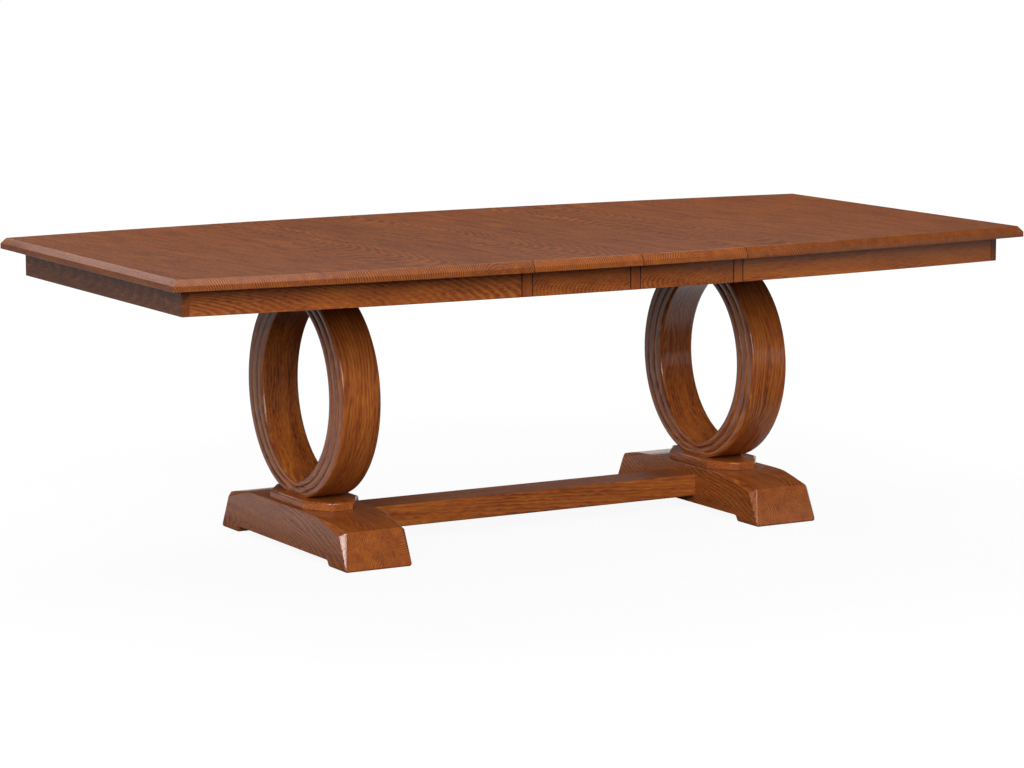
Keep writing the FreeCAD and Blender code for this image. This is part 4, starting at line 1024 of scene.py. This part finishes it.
def white_room():
    """World that is white to the camera, with a white ceiling for polished faces."""
    world = bpy.data.worlds.new("white_room")
    world.use_nodes = True
    tree = world.node_tree
    rays, seen = seen_rays(tree)
    look = add_node(tree, "ShaderNodeTexCoord").outputs["Generated"]
    rise = add_node(tree, "ShaderNodeSeparateXYZ", {0: look}).outputs["Z"]
    height = {"Value": rise, "From Min": CEILING_EDGE[0], "From Max": CEILING_EDGE[1]}
    ceiling = add_node(tree, "ShaderNodeMapRange", height).outputs["Result"]
    polish = {0: rays["Is Glossy Ray"], 1: ceiling}
    mirrored = add_node(tree, "ShaderNodeMath", polish, operation="MULTIPLY").outputs[0]
    white = {0: seen, 1: mirrored}
    white = add_node(tree, "ShaderNodeMath", white, operation="MAXIMUM").outputs[0]
    level = {"Factor": white, "A": ROOM_LIGHT, "B": 1.0}
    level = add_node(tree, "ShaderNodeMix", level, data_type="FLOAT").outputs["Result"]
    backdrop = tree.nodes["Background"]
    backdrop.inputs["Color"].default_value = WHITE
    tree.links.new(level, backdrop.inputs["Strength"])
    return world


bpy.context.scene.world = white_room()
print("the room as a lamp has a strength of", ROOM_LIGHT)

# %% [markdown]
# ## Soft boxes
#
# Large soft boxes do the lighting. The key stands behind the camera and the others skim the sides.
# Lacquer mirrors them, which is what makes it look like lacquer. The lamp at the right end is not
# mirrored, because from the left end it would turn the whole top white.

# %% Hang the soft boxes
TARGET = Vector((-23.57 * MM, 0, 371.86 * MM))


def around(azimuth, elevation, distance):
    """Point around the middle of the table; azimuth 0 is the front, and -90 the left end."""
    turn, rise = math.radians(azimuth), math.radians(elevation)
    level = math.cos(rise)
    away = Vector((math.sin(turn) * level, -math.cos(turn) * level, math.sin(rise)))
    return TARGET + away * distance


def aimed(name, data, place):
    """Object at a place that looks at the middle of the table."""
    item = bpy.data.objects.new(name, data)
    item.location = place
    item.rotation_mode = "QUATERNION"
    item.rotation_quaternion = (TARGET - place).to_track_quat("-Z", "Y")
    bpy.context.scene.collection.objects.link(item)
    return item


def soft_box(name, azimuth, elevation, distance, size, power, mirrored=True):
    """Area light that faces the table; lacquer mirrors it unless told not to."""
    lamp = bpy.data.lights.new(name, "AREA")
    lamp.shape = "RECTANGLE"
    lamp.size, lamp.size_y = size
    lamp.energy = power
    box = aimed(name, lamp, around(azimuth, elevation, distance))
    box.visible_camera = False
    box.visible_glossy = mirrored


# Azimuth and elevation in degrees, distance and size in metres, power in watts.
soft_box("key", -30, 25, 12.0, (8.8, 7.2), 1650)
soft_box("ceiling", -30, 75, 6.0, (5.0, 4.0), 70)
soft_box("back", 180, 52, 4.0, (3.0, 1.2), 29)
soft_box("back_left", -140, 48, 4.5, (2.0, 1.2), 45)
soft_box("back_right", 130, 48, 4.5, (2.0, 1.2), 32)
soft_box("right", 95, 20, 6.0, (2.4, 2.0), 120, mirrored=False)
soft_box("front_right", 44, 4, 6.0, (2.4, 1.4), 8)
soft_box("left_strip", -76, 14.1, 6.08, (0.25, 0.8), 22)
soft_box("right_low", 140, 0, 5.0, (2.5, 0.6), 5)
soft_box("back_panel", -170, 29, 6.0, (3.2, 1.6), 22)
print("lamps:", [lamp.name for lamp in bpy.data.lights])

# %% [markdown]
# ## The camera
#
# The camera stands at the photo's angle: a little to the left of the front, just above the table,
# and far enough away that the two pedestals look nearly alike in size.

# %% Place the camera
PHOTO_WIDTH = 1024
FOCAL_PIXELS = 3486.9
AZIMUTH, ELEVATION, DISTANCE = -29.778, 8.505, 9.060
view = bpy.data.cameras.new("camera")
view.sensor_width = 36.0
view.lens = view.sensor_width * FOCAL_PIXELS / PHOTO_WIDTH
view.clip_end = 200.0
bpy.context.scene.camera = aimed("camera", view, around(AZIMUTH, ELEVATION, DISTANCE))
bpy.context.scene.view_settings.view_transform = "Standard"
print("lens in mm:", round(view.lens, 1))

# %% [markdown]
# ## Sizes
#
# The finished table must be as large as the frame it came from, so both boxes are measured and the
# largest difference between them is printed.

# %% Measure the sizes and end the lesson
visual_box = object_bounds()
apart = max((cad - visual).length for cad, visual in zip(cad_box, visual_box))
print("largest difference in mm:", round(apart / MM, 3))
